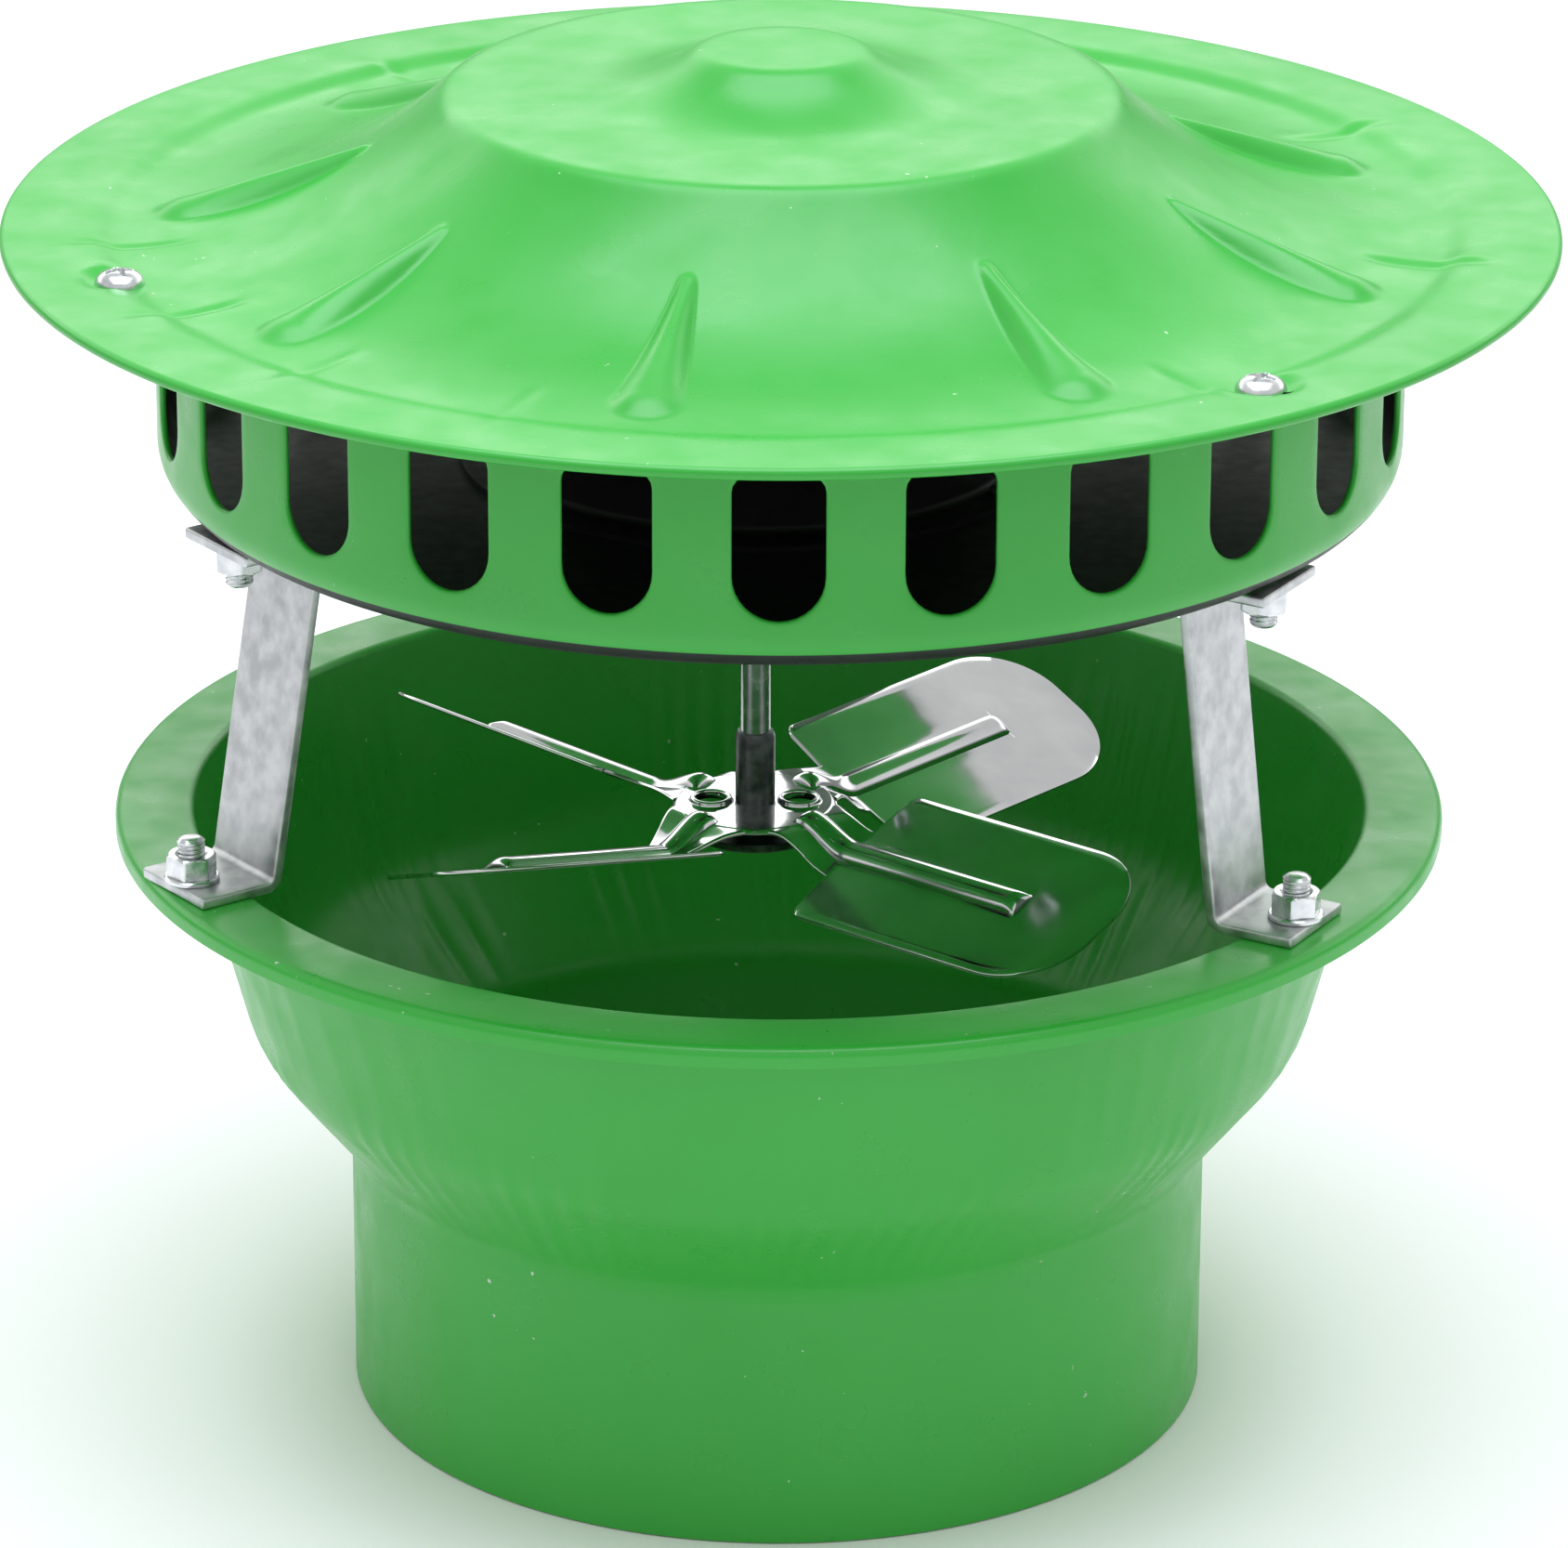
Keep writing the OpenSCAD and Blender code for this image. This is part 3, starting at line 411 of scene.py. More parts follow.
# %% A wall cell around a hole
def cell_rings(hole, hole_normal, border, thick, edge, spans):
    """Rows of (across, up, depth) from the border on the face, over the hole's rounded edge, to
    the border at the back. Depth 0 is the face and thick is the back."""
    far = hole + hole_normal * edge
    face = [border + (far - border) * s for s in spans]
    turn = np.radians([0, 30, 60, 90])
    rim = [(hole + hole_normal * (edge - edge * math.sin(t)), edge - edge * math.cos(t)) for t in turn]
    rows = [np.column_stack([p, np.zeros(len(p))]) for p in face]
    rows += [np.column_stack([p, np.full(len(p), d)]) for p, d in rim[1:]]
    rows += [np.column_stack([p, np.full(len(p), thick - d)]) for p, d in rim[::-1][:-1]]
    rows += [np.column_stack([p, np.full(len(p), thick)]) for p in face[::-1]]
    return np.stack(rows)


def slot_hole():
    """The slot's outline, anticlockwise from the left end of its lower arc, with outward normals
    that point into the sheet."""
    low = np.array([0.0, SLOT_W / 2])
    lower = np.radians(180 + np.arange(0, 181, 11.25))
    arc_low = low + SLOT_W / 2 * np.stack([np.cos(lower), np.sin(lower)], 1)
    n_low = np.stack([np.cos(lower), np.sin(lower)], 1)
    side_z = np.linspace(SLOT_W / 2, SLOT_H - SLOT_CORNER, 6)[1:-1]
    right = np.stack([np.full(4, SLOT_W / 2), side_z], 1)
    corner = np.radians([0, 22.5, 45, 67.5, 90])
    c = np.array([SLOT_W / 2 - SLOT_CORNER, SLOT_H - SLOT_CORNER])
    arc_right = c + SLOT_CORNER * np.stack([np.cos(corner), np.sin(corner)], 1)
    n_right = np.stack([np.cos(corner), np.sin(corner)], 1)
    top_x = np.linspace(SLOT_W / 2 - SLOT_CORNER, SLOT_CORNER - SLOT_W / 2, 9)[1:-1]
    top = np.stack([top_x, np.full(7, SLOT_H)], 1)
    flip = np.array([-1.0, 1.0])
    points = np.vstack([arc_low, right, arc_right, top, (arc_right * flip)[::-1], (right * flip)[::-1]])
    side_n = np.tile([1.0, 0.0], (4, 1))
    normals = np.vstack([n_low, side_n, n_right, np.tile([0.0, 1.0], (7, 1)), (n_right * flip)[::-1], side_n * -1])
    return points, normals


def border_points(hole, centre, low, high, half):
    """The rectangle's points on rays from the centre through the outline's points. The four that
    lie nearest to a corner are moved into it."""
    ray = hole - centre
    across = np.where(ray[:, 0] > 0, half, -half) / np.where(np.abs(ray[:, 0]) < 1e-9, 1e-9, ray[:, 0])
    up = (np.where(ray[:, 1] > 0, high, low) - centre[1]) / np.where(np.abs(ray[:, 1]) < 1e-9, 1e-9, ray[:, 1])
    border = centre + ray * np.minimum(np.abs(across), np.abs(up))[:, None]
    for corner in [(-half, low), (half, low), (half, high), (-half, high)]:
        border[np.argmin(np.hypot(*(border - corner).T))] = corner
    return border


# %% Pan
WALL_LOW, WALL_HIGH = PAN_Z + PAN_CORNER, FLANGE_Z - PAN_T - 1.5
SLOT_BOTTOM = PAN_Z + SLOT_RISE
CELL_HALF = math.pi * PAN_R / SLOTS
hole, hole_normal = slot_hole()
border = border_points(hole, np.array([0.0, 14.0]), WALL_LOW - SLOT_BOTTOM, WALL_HIGH - SLOT_BOTTOM, CELL_HALF)
cell = cell_rings(hole, hole_normal, border, PAN_T, 0.5, [0, 0.4, 0.75, 1])


def on_wall(points, angle):
    """(across, up, depth) wrapped on the pan's wall around the given angle."""
    turn = angle + points[..., 0] / PAN_R
    r = PAN_R - points[..., 2]
    return np.stack([r * np.cos(turn), r * np.sin(turn), SLOT_BOTTOM + points[..., 1]], -1)


slot_angles = np.radians(-90 + 360 / SLOTS * np.arange(SLOTS))
pan_grids = [(on_wall(cell, angle), False, True) for angle in slot_angles]
low_x = np.sort(border[np.abs(border[:, 1] - border[:, 1].min()) < 1e-9, 0])[:-1]
high_x = np.sort(border[np.abs(border[:, 1] - border[:, 1].max()) < 1e-9, 0])[:-1]
low_angles = (slot_angles[:, None] + low_x[None, :] / PAN_R).ravel()
high_angles = (slot_angles[:, None] + high_x[None, :] / PAN_R).ravel()

hole_r = 5.6 / 2 + 3 - SHAFT_X
floor_path = rounded_path([(hole_r, PAN_Z), (PAN_R, PAN_Z), (PAN_R, WALL_LOW + 9)], [PAN_CORNER], step=10)[:-1]
floor_path = spread(floor_path, 8)
floor_inner = floor_path + left_normals(floor_path) * PAN_T
pan_grids.append((around(np.vstack([floor_path[::-1], floor_inner]), low_angles), True, False))
flange_path = rounded_path([(PAN_R, WALL_HIGH - 9), (PAN_R, FLANGE_Z - PAN_T), (FLANGE_R, FLANGE_Z - PAN_T)], [1.5], step=18)[1:]
flange_path = spread(flange_path, 4)
flange_upper = flange_path + left_normals(flange_path) * PAN_T
edge = [(FLANGE_R + 0.35, FLANGE_Z - 0.85), (FLANGE_R + 0.35, FLANGE_Z - 0.35)]
flange_loop = np.vstack([flange_path[:-1], [(FLANGE_R, FLANGE_Z - PAN_T)], edge, flange_upper[::-1]])
pan_grids.append((around(flange_loop, high_angles), True, False))
pan_piece = make_piece("slotted_pan", pan_grids, "cowl", "pan_paint", ["cage_pan"], sharp=60)

# %% [markdown]
# Each leg is a strip of galvanised steel, 20 by 2 mm, folded at both ends. A cut strip has
# slightly round edges. Its section, a rounded rectangle, is carried along the folded line, and
# the last rings shrink towards the middle so that the ends are round as well.

# %% Legs
LEG_W, LEG_T, LEG_FOOT, LEG_BEND = 20.0, 2.0, 15.0, 1.5
LEG_ANGLE, LEG_TURN = np.radians([-155.4, -36.4, 84]), np.radians([12, 6, 9])
LEG_R = LIP_INNER_R - np.array([2.3, 5.8, 4.3])
LEG_BOLT, TOP_BOLT = 10.9, 10.0
PAN_BOLT_R = PAN_R - 7.7
LEG_LEAN = LEG_R * np.cos(LEG_TURN) + TOP_BOLT - np.sqrt(PAN_BOLT_R**2 - (LEG_R * np.sin(LEG_TURN)) ** 2)
FOOT_TOP, LEG_TOP = LIP_Z + LEG_T, PAN_Z - LEG_T


def strip_section(shrink):
    """(across, depth) around a rounded rectangle, drawn in by the given amount on every side."""
    r = max(0.45 - shrink, 0.05)
    turn = np.radians([0, 30, 60, 90])
    corner = np.stack([np.cos(turn), np.sin(turn)], 1) * r
    x, y = LEG_W / 2 - shrink - r, LEG_T / 2 - shrink - r
    quarter = corner + [x, y]
    flat = np.linspace(x, -x, 8)[1:-1]
    top = np.stack([flat, np.full(6, LEG_T / 2 - shrink)], 1)
    half = np.vstack([quarter, top, (quarter * [-1, 1])[::-1]])
    return np.vstack([half, -half]) + [0, LEG_T / 2]


def leg_grid(lean):
    """The section carried along the strip's folded line, in the leg's own frame."""
    corners = [(LEG_FOOT, FOOT_TOP), (0, FOOT_TOP), (-lean, LEG_TOP), (LEG_FOOT - lean, LEG_TOP)]
    path = rounded_path(corners, [LEG_BEND, LEG_BEND], step=12)
    path = spread(path, 6)
    normal = left_normals(path)
    along = np.array([[1.0, 0.0]])
    rings, shrinks = [], []
    for offset, shrink in [(0, 0.5), (0, 0.3), (0.12, 0.12), (0.4, 0.0)]:
        rings.append((path[0] - along[0] * offset, normal[0], shrink))
    rings += [(p, n, 0.0) for p, n in zip(path[1:-1], normal[1:-1])]
    for offset, shrink in [(0.4, 0.0), (0.12, 0.12), (0, 0.3), (0, 0.5)]:
        rings.append((path[-1] - along[0] * offset, normal[-1], shrink))
    rows = []
    for p, n, shrink in rings:
        section = strip_section(shrink)
        xz = p + n * section[:, 1:2]
        rows.append(np.stack([xz[:, 0], section[:, 0], xz[:, 1]], 1))
    first, last = rows[0].copy(), rows[-1].copy()
    for row, n, p in [(first, normal[0], path[0]), (last, normal[-1], path[-1])]:
        row[:, [0, 2]] = p + n * LEG_T / 2
    return np.stack([first] + rows + [last])


def turn_z(points, angle):
    """The points turned about the upright axis."""
    c, s = math.cos(angle), math.sin(angle)
    x, y = points[..., 0], points[..., 1]
    return np.stack([x * c - y * s, x * s + y * c, points[..., 2]], -1)


def at_leg(points, i):
    """From the frame of leg i to the fan's own."""
    return turn_z(turn_z(points, LEG_TURN[i]) + [LEG_R[i], 0, 0], LEG_ANGLE[i])


leg_names = ["left", "right", "rear"]
legs = [
    make_piece(
        f"strip_leg_{side}", [(at_leg(leg_grid(LEG_LEAN[i]), i), False, True)],
        "cowl", "leg_zinc", [f"leg_{side}"], sharp=50,
    )
    for i, side in enumerate(leg_names)
]

# %% [markdown]
# Screws, nuts and washers are bright zinc-plated. A nut is a hexagon bar whose corners are turned
# off by a cone, so its radius at each angle and height is the smaller of the two. A thread is a
# groove that climbs one pitch a turn: a wave in the radius whose phase is height minus angle.

# %% Nuts, washers and bolts
BOLT_D, NUT_AF, NUT_H, HEAD_D, HEAD_H = 5.0, 8.0, 4.0, 7.6, 3.0
WASHER_D, WASHER_T, BOLT_END, THREAD_PITCH = 10.0, 1.0, 3.2, 0.8


def nut_grid(across_flats, height, bore, turn=0.0):
    """A hexagon nut on z = 0 whose upper corners are turned off. Rows go around, columns along."""
    angle = full_turn(96)
    hexagon = across_flats / 2 / np.cos((angle - turn + math.pi / 6) % (math.pi / 3) - math.pi / 6)
    hexagon = np.minimum(hexagon, across_flats / 2 * 1.13)
    z = np.concatenate([[0.0, 0.12], np.linspace(0.3, 0.62, 3) * height, height - np.linspace(1.1, 0.0, 9)])
    cone = across_flats / 2 + 0.02 + (height - z) * 1.25
    low = np.where(z < 0.1, 0.12, 0.0)
    side = np.minimum(hexagon[:, None] - low, cone[None, :])
    top = [(bore / 2 + 0.45, height), (bore / 2, height - 0.4), (bore / 2, 0.4), (bore / 2 + 0.4, 0.0)]
    rings = np.broadcast_to(np.array(top)[None, :, 0], (len(angle), 4))
    r = np.concatenate([side, rings], axis=1)
    h = np.concatenate([z, np.array(top)[:, 1]])
    return np.stack([r * np.cos(angle)[:, None], r * np.sin(angle)[:, None], np.broadcast_to(h, r.shape)], -1)


def threaded(outline, low, high, pitch=THREAD_PITCH, depth=0.26, count=64):
    """A turned piece whose radius between two heights carries a thread."""
    outline = np.asarray(outline, float)
    angle = full_turn(count)
    grid = around(outline, angle)
    z = outline[None, :, 1]
    wave = 0.5 - 0.5 * np.cos(2 * math.pi * (z / pitch) - angle[:, None])
    inside = smooth_step((z - low) / pitch) * smooth_step((high - z) / pitch)
    r = outline[None, :, 0] - depth * wave * inside * (outline[None, :, 0] > 0.6)
    scale = r / np.maximum(outline[None, :, 0], 1e-9)
    grid[..., :2] *= scale[..., None]
    return grid


def bolt_outline(head_d, head_h, diameter, length):
    """From the middle of the low round head, over its edge, up the shank to its round end. The
    head hangs under z = 0 and the shank stands on it."""
    turn = np.radians(np.arange(0, 91, 11.25))
    head = np.stack([head_d / 2 * np.sin(turn) ** 0.9, -head_h * 0.25 - head_h * 0.75 * np.cos(turn)], 1)
    shank_z = np.arange(0.4, length - 0.7, 0.1)
    shank = np.stack([np.full(len(shank_z), diameter / 2), shank_z], 1)
    end = [(diameter / 2 - 0.15, length - 0.62), (diameter / 2 - 0.5, length - 0.25), (diameter / 2 - 1.1, length - 0.06)]
    return np.vstack([head, [(head_d / 2 - 0.1, 0.0), (diameter / 2 + 0.1, 0.0)], shank, end, [(0, length)]])


def at_bolt(i, out, z, flip=False):
    """A function that puts points, standing on z = 0, at a bolt of leg i."""
    def place(points):
        if flip:
            points = points * [1, -1, -1]
        return at_leg(points + [out, 0, z], i)
    return place


washer_outline = np.array([
    (2.8, 0.15), (2.95, 0), (4.8, 0), (5, 0.2), (5, WASHER_T - 0.25), (4.75, WASHER_T), (2.95, WASHER_T), (2.8, WASHER_T - 0.15),
])
foot_nut_z = FOOT_TOP + WASHER_T
under_lip = LIP_Z - BOWL_T
foot_length = foot_nut_z + NUT_H + BOLT_END - under_lip
pan_length = PAN_Z + PAN_T - LEG_TOP + NUT_H + BOLT_END
foot_bolt = threaded(bolt_outline(HEAD_D, HEAD_H, BOLT_D, foot_length), 4.0, foot_length - 0.5)
pan_bolt = threaded(bolt_outline(HEAD_D, HEAD_H, BOLT_D, pan_length), 4.0, pan_length - 0.5)
foot_bolt_grids, foot_nut_grids, washer_grids, pan_bolt_grids, pan_nut_grids = [], [], [], [], []
for i, turn in enumerate(np.radians([8, 14, 40])):
    foot_bolt_grids.append((at_bolt(i, LEG_BOLT, under_lip)(foot_bolt), True, False))
    washer = turned(washer_outline, 64)[0]
    washer_grids.append((at_bolt(i, LEG_BOLT, FOOT_TOP)(washer), True, True))
    foot_nut_grids.append((at_bolt(i, LEG_BOLT, foot_nut_z)(nut_grid(NUT_AF, NUT_H, BOLT_D, turn)), True, True))
    top_out = TOP_BOLT - LEG_LEAN[i]
    pan_bolt_grids.append((at_bolt(i, top_out, PAN_Z + PAN_T, True)(pan_bolt), True, False))
    pan_nut_grids.append((at_bolt(i, top_out, LEG_TOP, True)(nut_grid(NUT_AF, NUT_H, BOLT_D, turn + 0.4)), True, True))
make_piece("foot_bolts_threaded", foot_bolt_grids, "cowl", "bolt_zinc", ["foot_bolts"])
make_piece("foot_washers_round", washer_grids, "cowl", "bolt_zinc", ["foot_washers"])
make_piece("foot_nuts_hex", foot_nut_grids, "cowl", "nut_zinc", ["foot_nuts"], sharp=25)
make_piece("pan_bolts_threaded", pan_bolt_grids, "cowl", "bolt_zinc", ["pan_bolts"])
make_piece("pan_nuts_hex", pan_nut_grids, "cowl", "nut_zinc", ["pan_nuts"], sharp=25)

# %% [markdown]
# The hat's three screws have low round heads with a cross recess. The head is a dome, and the
# recess is sunk into it wherever a point lies within half a bar's width of one of the two
# crossed lines. Near the middle the bars are deeper, as the driver's tip is a cone.

# %% Hat screws
HAT_SCREW_D, HAT_HEAD_D, HAT_HEAD_H, HAT_NUT_AF, HAT_NUT_H = 4.0, 9.0, 2.6, 7.0, 3.0


def cross_head(head_d, head_h, turn):
    """Upper face of the head over (radius, angle): a flattened dome minus two crossed grooves."""
    r = np.concatenate([np.linspace(0, 0.62, 26), [0.7, 0.78, 0.86, 0.93, 0.98, 1.0]]) * head_d / 2
    angle = full_turn(128)
    x = r[None, :] * np.cos(angle[:, None] - turn)
    y = r[None, :] * np.sin(angle[:, None] - turn)
    dome = head_h * np.sqrt(np.clip(1 - (r / (head_d / 2)) ** 2.6, 0, 1))[None, :] * np.ones_like(x)
    reach, bar = head_d * 0.29, head_d * 0.062
    d_bar = np.minimum(
        np.maximum(np.abs(x) - reach, np.abs(y) - bar), np.maximum(np.abs(y) - reach, np.abs(x) - bar),
    )
    core = np.hypot(x, y) - head_d * 0.13
    sink = smooth_step(-np.minimum(d_bar, core) / 0.22)
    depth = head_h * 0.62 * (1 - 0.55 * np.hypot(x, y) / reach)
    z = np.maximum(dome - sink * np.maximum(depth, 0), 0)
    return np.stack([r * np.cos(angle[:, None]), r * np.sin(angle[:, None]), z], -1)


def screw_grid(head_d, head_h, diameter, length, turn):
    """Head on top, then its under side and the shank that hangs below z = 0 down to its end."""
    top = cross_head(head_d, head_h, turn)
    z = -np.arange(0.3, length - 0.4, 0.2)
    outline = np.vstack([
        [(head_d / 2 - 0.15, 0.0), (diameter / 2 + 0.1, 0.0)],
        np.stack([np.full(len(z), diameter / 2), z], 1),
        [(diameter / 2 - 0.5, -length + 0.1), (0, -length)],
    ])
    shank = threaded(outline, -length, -1.0, pitch=0.7, depth=0.2, count=128)
    return np.concatenate([top, shank], axis=1)


screw_length = HAT_T + PAN_T + HAT_NUT_H + 1.5
screw_grids, hat_nut_grids = [], []
for screw_r, screw_angle, turn in zip(HAT_SCREW_R, HAT_SCREW_ANGLE, np.radians([20, 62, 35])):
    place = [screw_r * math.cos(screw_angle), screw_r * math.sin(screw_angle), 0]
    screw_grids.append((
        screw_grid(HAT_HEAD_D, HAT_HEAD_H, HAT_SCREW_D, screw_length, turn) + place + np.array([0, 0, DISH_Z]), True, False,
    ))
    nut = nut_grid(HAT_NUT_AF, HAT_NUT_H, HAT_SCREW_D, turn) * [1, -1, -1]
    hat_nut_grids.append((nut + place + np.array([0, 0, FLANGE_Z - PAN_T]), True, True))
make_piece("hat_screws_cross", screw_grids, "cowl", "screw_zinc", ["hat_screws"], sharp=35)
make_piece("hat_nuts_hex", hat_nut_grids, "cowl", "nut_zinc", ["hat_nuts"], sharp=25)

# %% [markdown]
# The impeller is one stamping of mirror-bright stainless sheet: a hub disc with two curled
# windows, four necks that are twisted to the blades' pitch, and a rounded rib along each neck
# and blade that keeps them stiff. The twisting leaves every blade at its own pitch. A blade is
# a section across it, carried outwards: half its width, the rib's height, the twist and the
# height of the section are all functions of the distance from the shaft.

# %% Impeller
BLADE_R, ROOT_R, BLADE_W, BLADE_T, BLADE_CORNER = 84.6, 24.5, 37.0, 0.8, 15.0
BLADE_ANGLE = np.radians([45, 138.5, -134.7, -42.8])
BLADE_PITCH, BLADE_LIFT = np.radians([23.5, 29, 18.5, 21]), np.radians([2, 2, 12.6, 2])
NECK_W, RIB_W, RIB_UP, RIB_END = 14.0, 5.6, 2.0, 66.0
HUB_R, HUB_Z, HUB_RISE, HUB_EDGE = 15.5, 113.0, 4.0, 1.5
WINDOW_R, WINDOW_OUT, CURL_W, CURL_H = 2.9, 8.2, 1.0, 1.0
RIB_START = WINDOW_OUT + WINDOW_R + CURL_W
ROOT_ROUND, NECK_FLARE, NECK_SINK = 2.0, 2.5, 0.1
RIB_STOP = RIB_END - RIB_W / 2
ROOT_END = ROOT_R + NECK_SINK + ROOT_ROUND
CORNER_START = BLADE_R - BLADE_CORNER


def half_width(r):
    """Half of the blank's width: a flared neck, round root corners, straight sides, round tip."""
    neck = NECK_W / 2 + NECK_FLARE * np.clip((ROOT_R - r) / (ROOT_R - RIB_START), 0, 1) ** 2
    root = BLADE_W / 2 - ROOT_ROUND + np.sqrt(np.clip(ROOT_ROUND**2 - (ROOT_END - r) ** 2, 0, None))
    tip = BLADE_W / 2 - BLADE_CORNER + np.sqrt(np.clip(BLADE_CORNER**2 - (r - CORNER_START) ** 2, 0, None))
    return np.where(r <= ROOT_R, neck, np.where(r < ROOT_END, root, np.where(r <= CORNER_START, BLADE_W / 2, tip)))


def rib_height(r):
    """The rib's height, which starts and ends like a ball."""
    far = np.clip(r - RIB_STOP, 0, None) / (RIB_W / 2)
    near = np.clip(RIB_START + RIB_W / 2 - r, 0, None) / (RIB_W / 2)
    return RIB_UP * np.sqrt(np.clip(1 - np.maximum(far, near) ** 2, 0, 1))


def blade_grid(pitch, lift):
    """Sections at growing distance from the shaft. Each goes over the upper face, around the edge
    and back along the lower face, one sheet's thickness below."""
    turn = np.radians(np.arange(0, 91, 7.5))
    r = np.concatenate([
        np.linspace(RIB_START, ROOT_R, 22)[:-1],
        ROOT_R + NECK_SINK * 0.5 + (NECK_SINK * 0.5 + ROOT_ROUND) * (1 - np.cos(turn)),
        np.linspace(ROOT_END, RIB_STOP, 16)[1:-1],
        RIB_STOP + RIB_W / 2 * np.sin(turn),
        CORNER_START + BLADE_CORNER * np.sin(np.radians(np.arange(0, 91, 4.5))),
    ])
    half = half_width(r)
    blend = smooth_step((r / RIB_START - 1.08) / (ROOT_R / RIB_START - 1.08))
    z0 = HUB_Z - NECK_SINK - (HUB_RISE - NECK_SINK) * blend + np.clip(r - ROOT_R, 0, None) * math.tan(lift)
    side = np.linspace(0, 1, 12)[None, :] ** 0.8
    foot = RIB_W / 2 * 1.12
    left = -half[:, None] + (half[:, None] - foot) * side
    middle = np.linspace(-foot, foot, 27)[None, 1:-1] * np.ones_like(half)[:, None]
    s = np.concatenate([left, middle, -left[:, ::-1]], axis=1)
    up = rib_height(r)[:, None] * np.sqrt(np.clip(1 - (s / (RIB_W / 2)) ** 2, 0, 1)) ** 1.0
    up = up + 0.12 * np.exp(-(((np.abs(s) - RIB_W / 2) / 0.5) ** 2)) * (rib_height(r)[:, None] > 0.3)
    edge = 0.25
    upper = np.stack([s, up], -1)
    lower = np.stack([s, up - BLADE_T], -1)[:, ::-1]
    tuck = np.zeros_like(s)
    tuck[:, 0], tuck[:, -1] = edge, -edge
    upper[..., 0] += tuck
    lower[..., 0] += tuck[:, ::-1]
    right_edge = np.stack([half[:, None] * np.ones((1, 2)), np.array([[-edge, edge - BLADE_T]]) * np.ones_like(half)[:, None]], -1)
    left_edge = right_edge[:, ::-1] * [-1, 1]
    section = np.concatenate([upper, right_edge, lower, left_edge], axis=1)
    last = section[-1].copy()
    inner = last * [1, 1]
    inner[:, 1] = np.clip(last[:, 1], -BLADE_T + 0.15, -0.15)
    flat = last.copy()
    flat[:, 1] = -BLADE_T / 2
    first = section[0].copy()
    first[:, 1] = -BLADE_T / 2
    section = np.concatenate([first[None], section, inner[None], flat[None]])
    twist = pitch * np.concatenate([blend[:1], blend, blend[-1:], blend[-1:]])[:, None]
    rr = np.concatenate([r[:1], r, r[-1:] + 0.2, r[-1:] + 0.25])[:, None]
    zz = np.concatenate([z0[:1], z0, z0[-1:], z0[-1:]])[:, None]
    x, y = section[..., 0], section[..., 1]
    rr = np.minimum(rr, BLADE_R) * np.ones_like(x)
    return np.stack([rr, x * np.cos(twist) - y * np.sin(twist), zz + x * np.sin(twist) + y * np.cos(twist)], -1)


def hub_half(side):
    """Half of the hub disc, around one window: from the border on top to the curled rim, down
    through the window and back to the border underneath."""
    flat_r = HUB_R - HUB_EDGE
    arc = np.radians(np.linspace(-90, 90, 49))
    line = np.linspace(flat_r, -flat_r, 25)[1:-1]
    border = np.vstack([flat_r * np.stack([np.cos(arc), np.sin(arc)], 1), np.stack([np.zeros(23), line], 1)])
    centre = np.array([WINDOW_OUT, 0.0])
    ray = border - centre
    direction = ray / np.linalg.norm(ray, axis=1)[:, None]
    bend = np.radians([0, 30, 60, 90])
    rings = [(border, 0.0)]
    for share in (0.45, 0.8):
        rings.append((border + (centre + direction * (WINDOW_R + CURL_W + 0.4) - border) * share, 0.0))
    rings += [(centre + direction * (WINDOW_R + CURL_W + 0.4 * (1 - math.sin(b))), 0.4 * (1 - math.cos(b))) for b in bend[:3]]
    top = np.radians([0, 30, 60, 90, 120, 150, 180])
    radius = CURL_W / 2
    rings += [(centre + direction * (WINDOW_R + radius + radius * math.cos(b)), CURL_H - radius * 0.8 + radius * 0.8 * math.sin(b)) for b in top]
    rings += [(centre + direction * WINDOW_R, z) for z in (0.0, -BLADE_T + 0.2)]
    rings += [(centre + direction * (WINDOW_R + 0.2), -BLADE_T), (centre + ray * 0.6, -BLADE_T), (border, -BLADE_T)]
    grid = np.stack([np.column_stack([p, np.full(len(p), HUB_Z + z)]) for p, z in rings])
    return grid * [side, 1, 1]


bend = np.radians(np.arange(90, 39, -10.0))
skirt_path = np.stack([HUB_R - HUB_EDGE + HUB_EDGE * np.cos(bend), HUB_Z - HUB_EDGE + HUB_EDGE * np.sin(bend)], 1)
skirt_loop = np.vstack([skirt_path, (skirt_path - left_normals(skirt_path) * BLADE_T)[::-1]])
half_arc = np.radians(np.linspace(-90, 90, 49))
skirt_angles = np.concatenate([half_arc, math.pi - half_arc[::-1][1:-1]])
impeller_grids = [(hub_half(1), False, True), (hub_half(-1), False, True)]
impeller_grids.append((around(skirt_loop, np.concatenate([half_arc[:-1], half_arc[:-1] + math.pi])), True, False))
impeller_grids += [
    (turn_z(blade_grid(pitch, lift), angle), False, True)
    for angle, pitch, lift in zip(BLADE_ANGLE, BLADE_PITCH, BLADE_LIFT)
]
impeller_grids = [(grid + [SHAFT_X, 0, 0], rows, columns) for grid, rows, columns in impeller_grids]
impeller_piece = make_piece("stamped_impeller", impeller_grids, "rotor", "impeller_bright", ["impeller"], sharp=50)

# %% [markdown]
# The impeller sits on a turned steel bush: a sleeve on the shaft with a round flange below the
# hub. The motor hides under a black drum. All are solids of revolution, so one outline each.

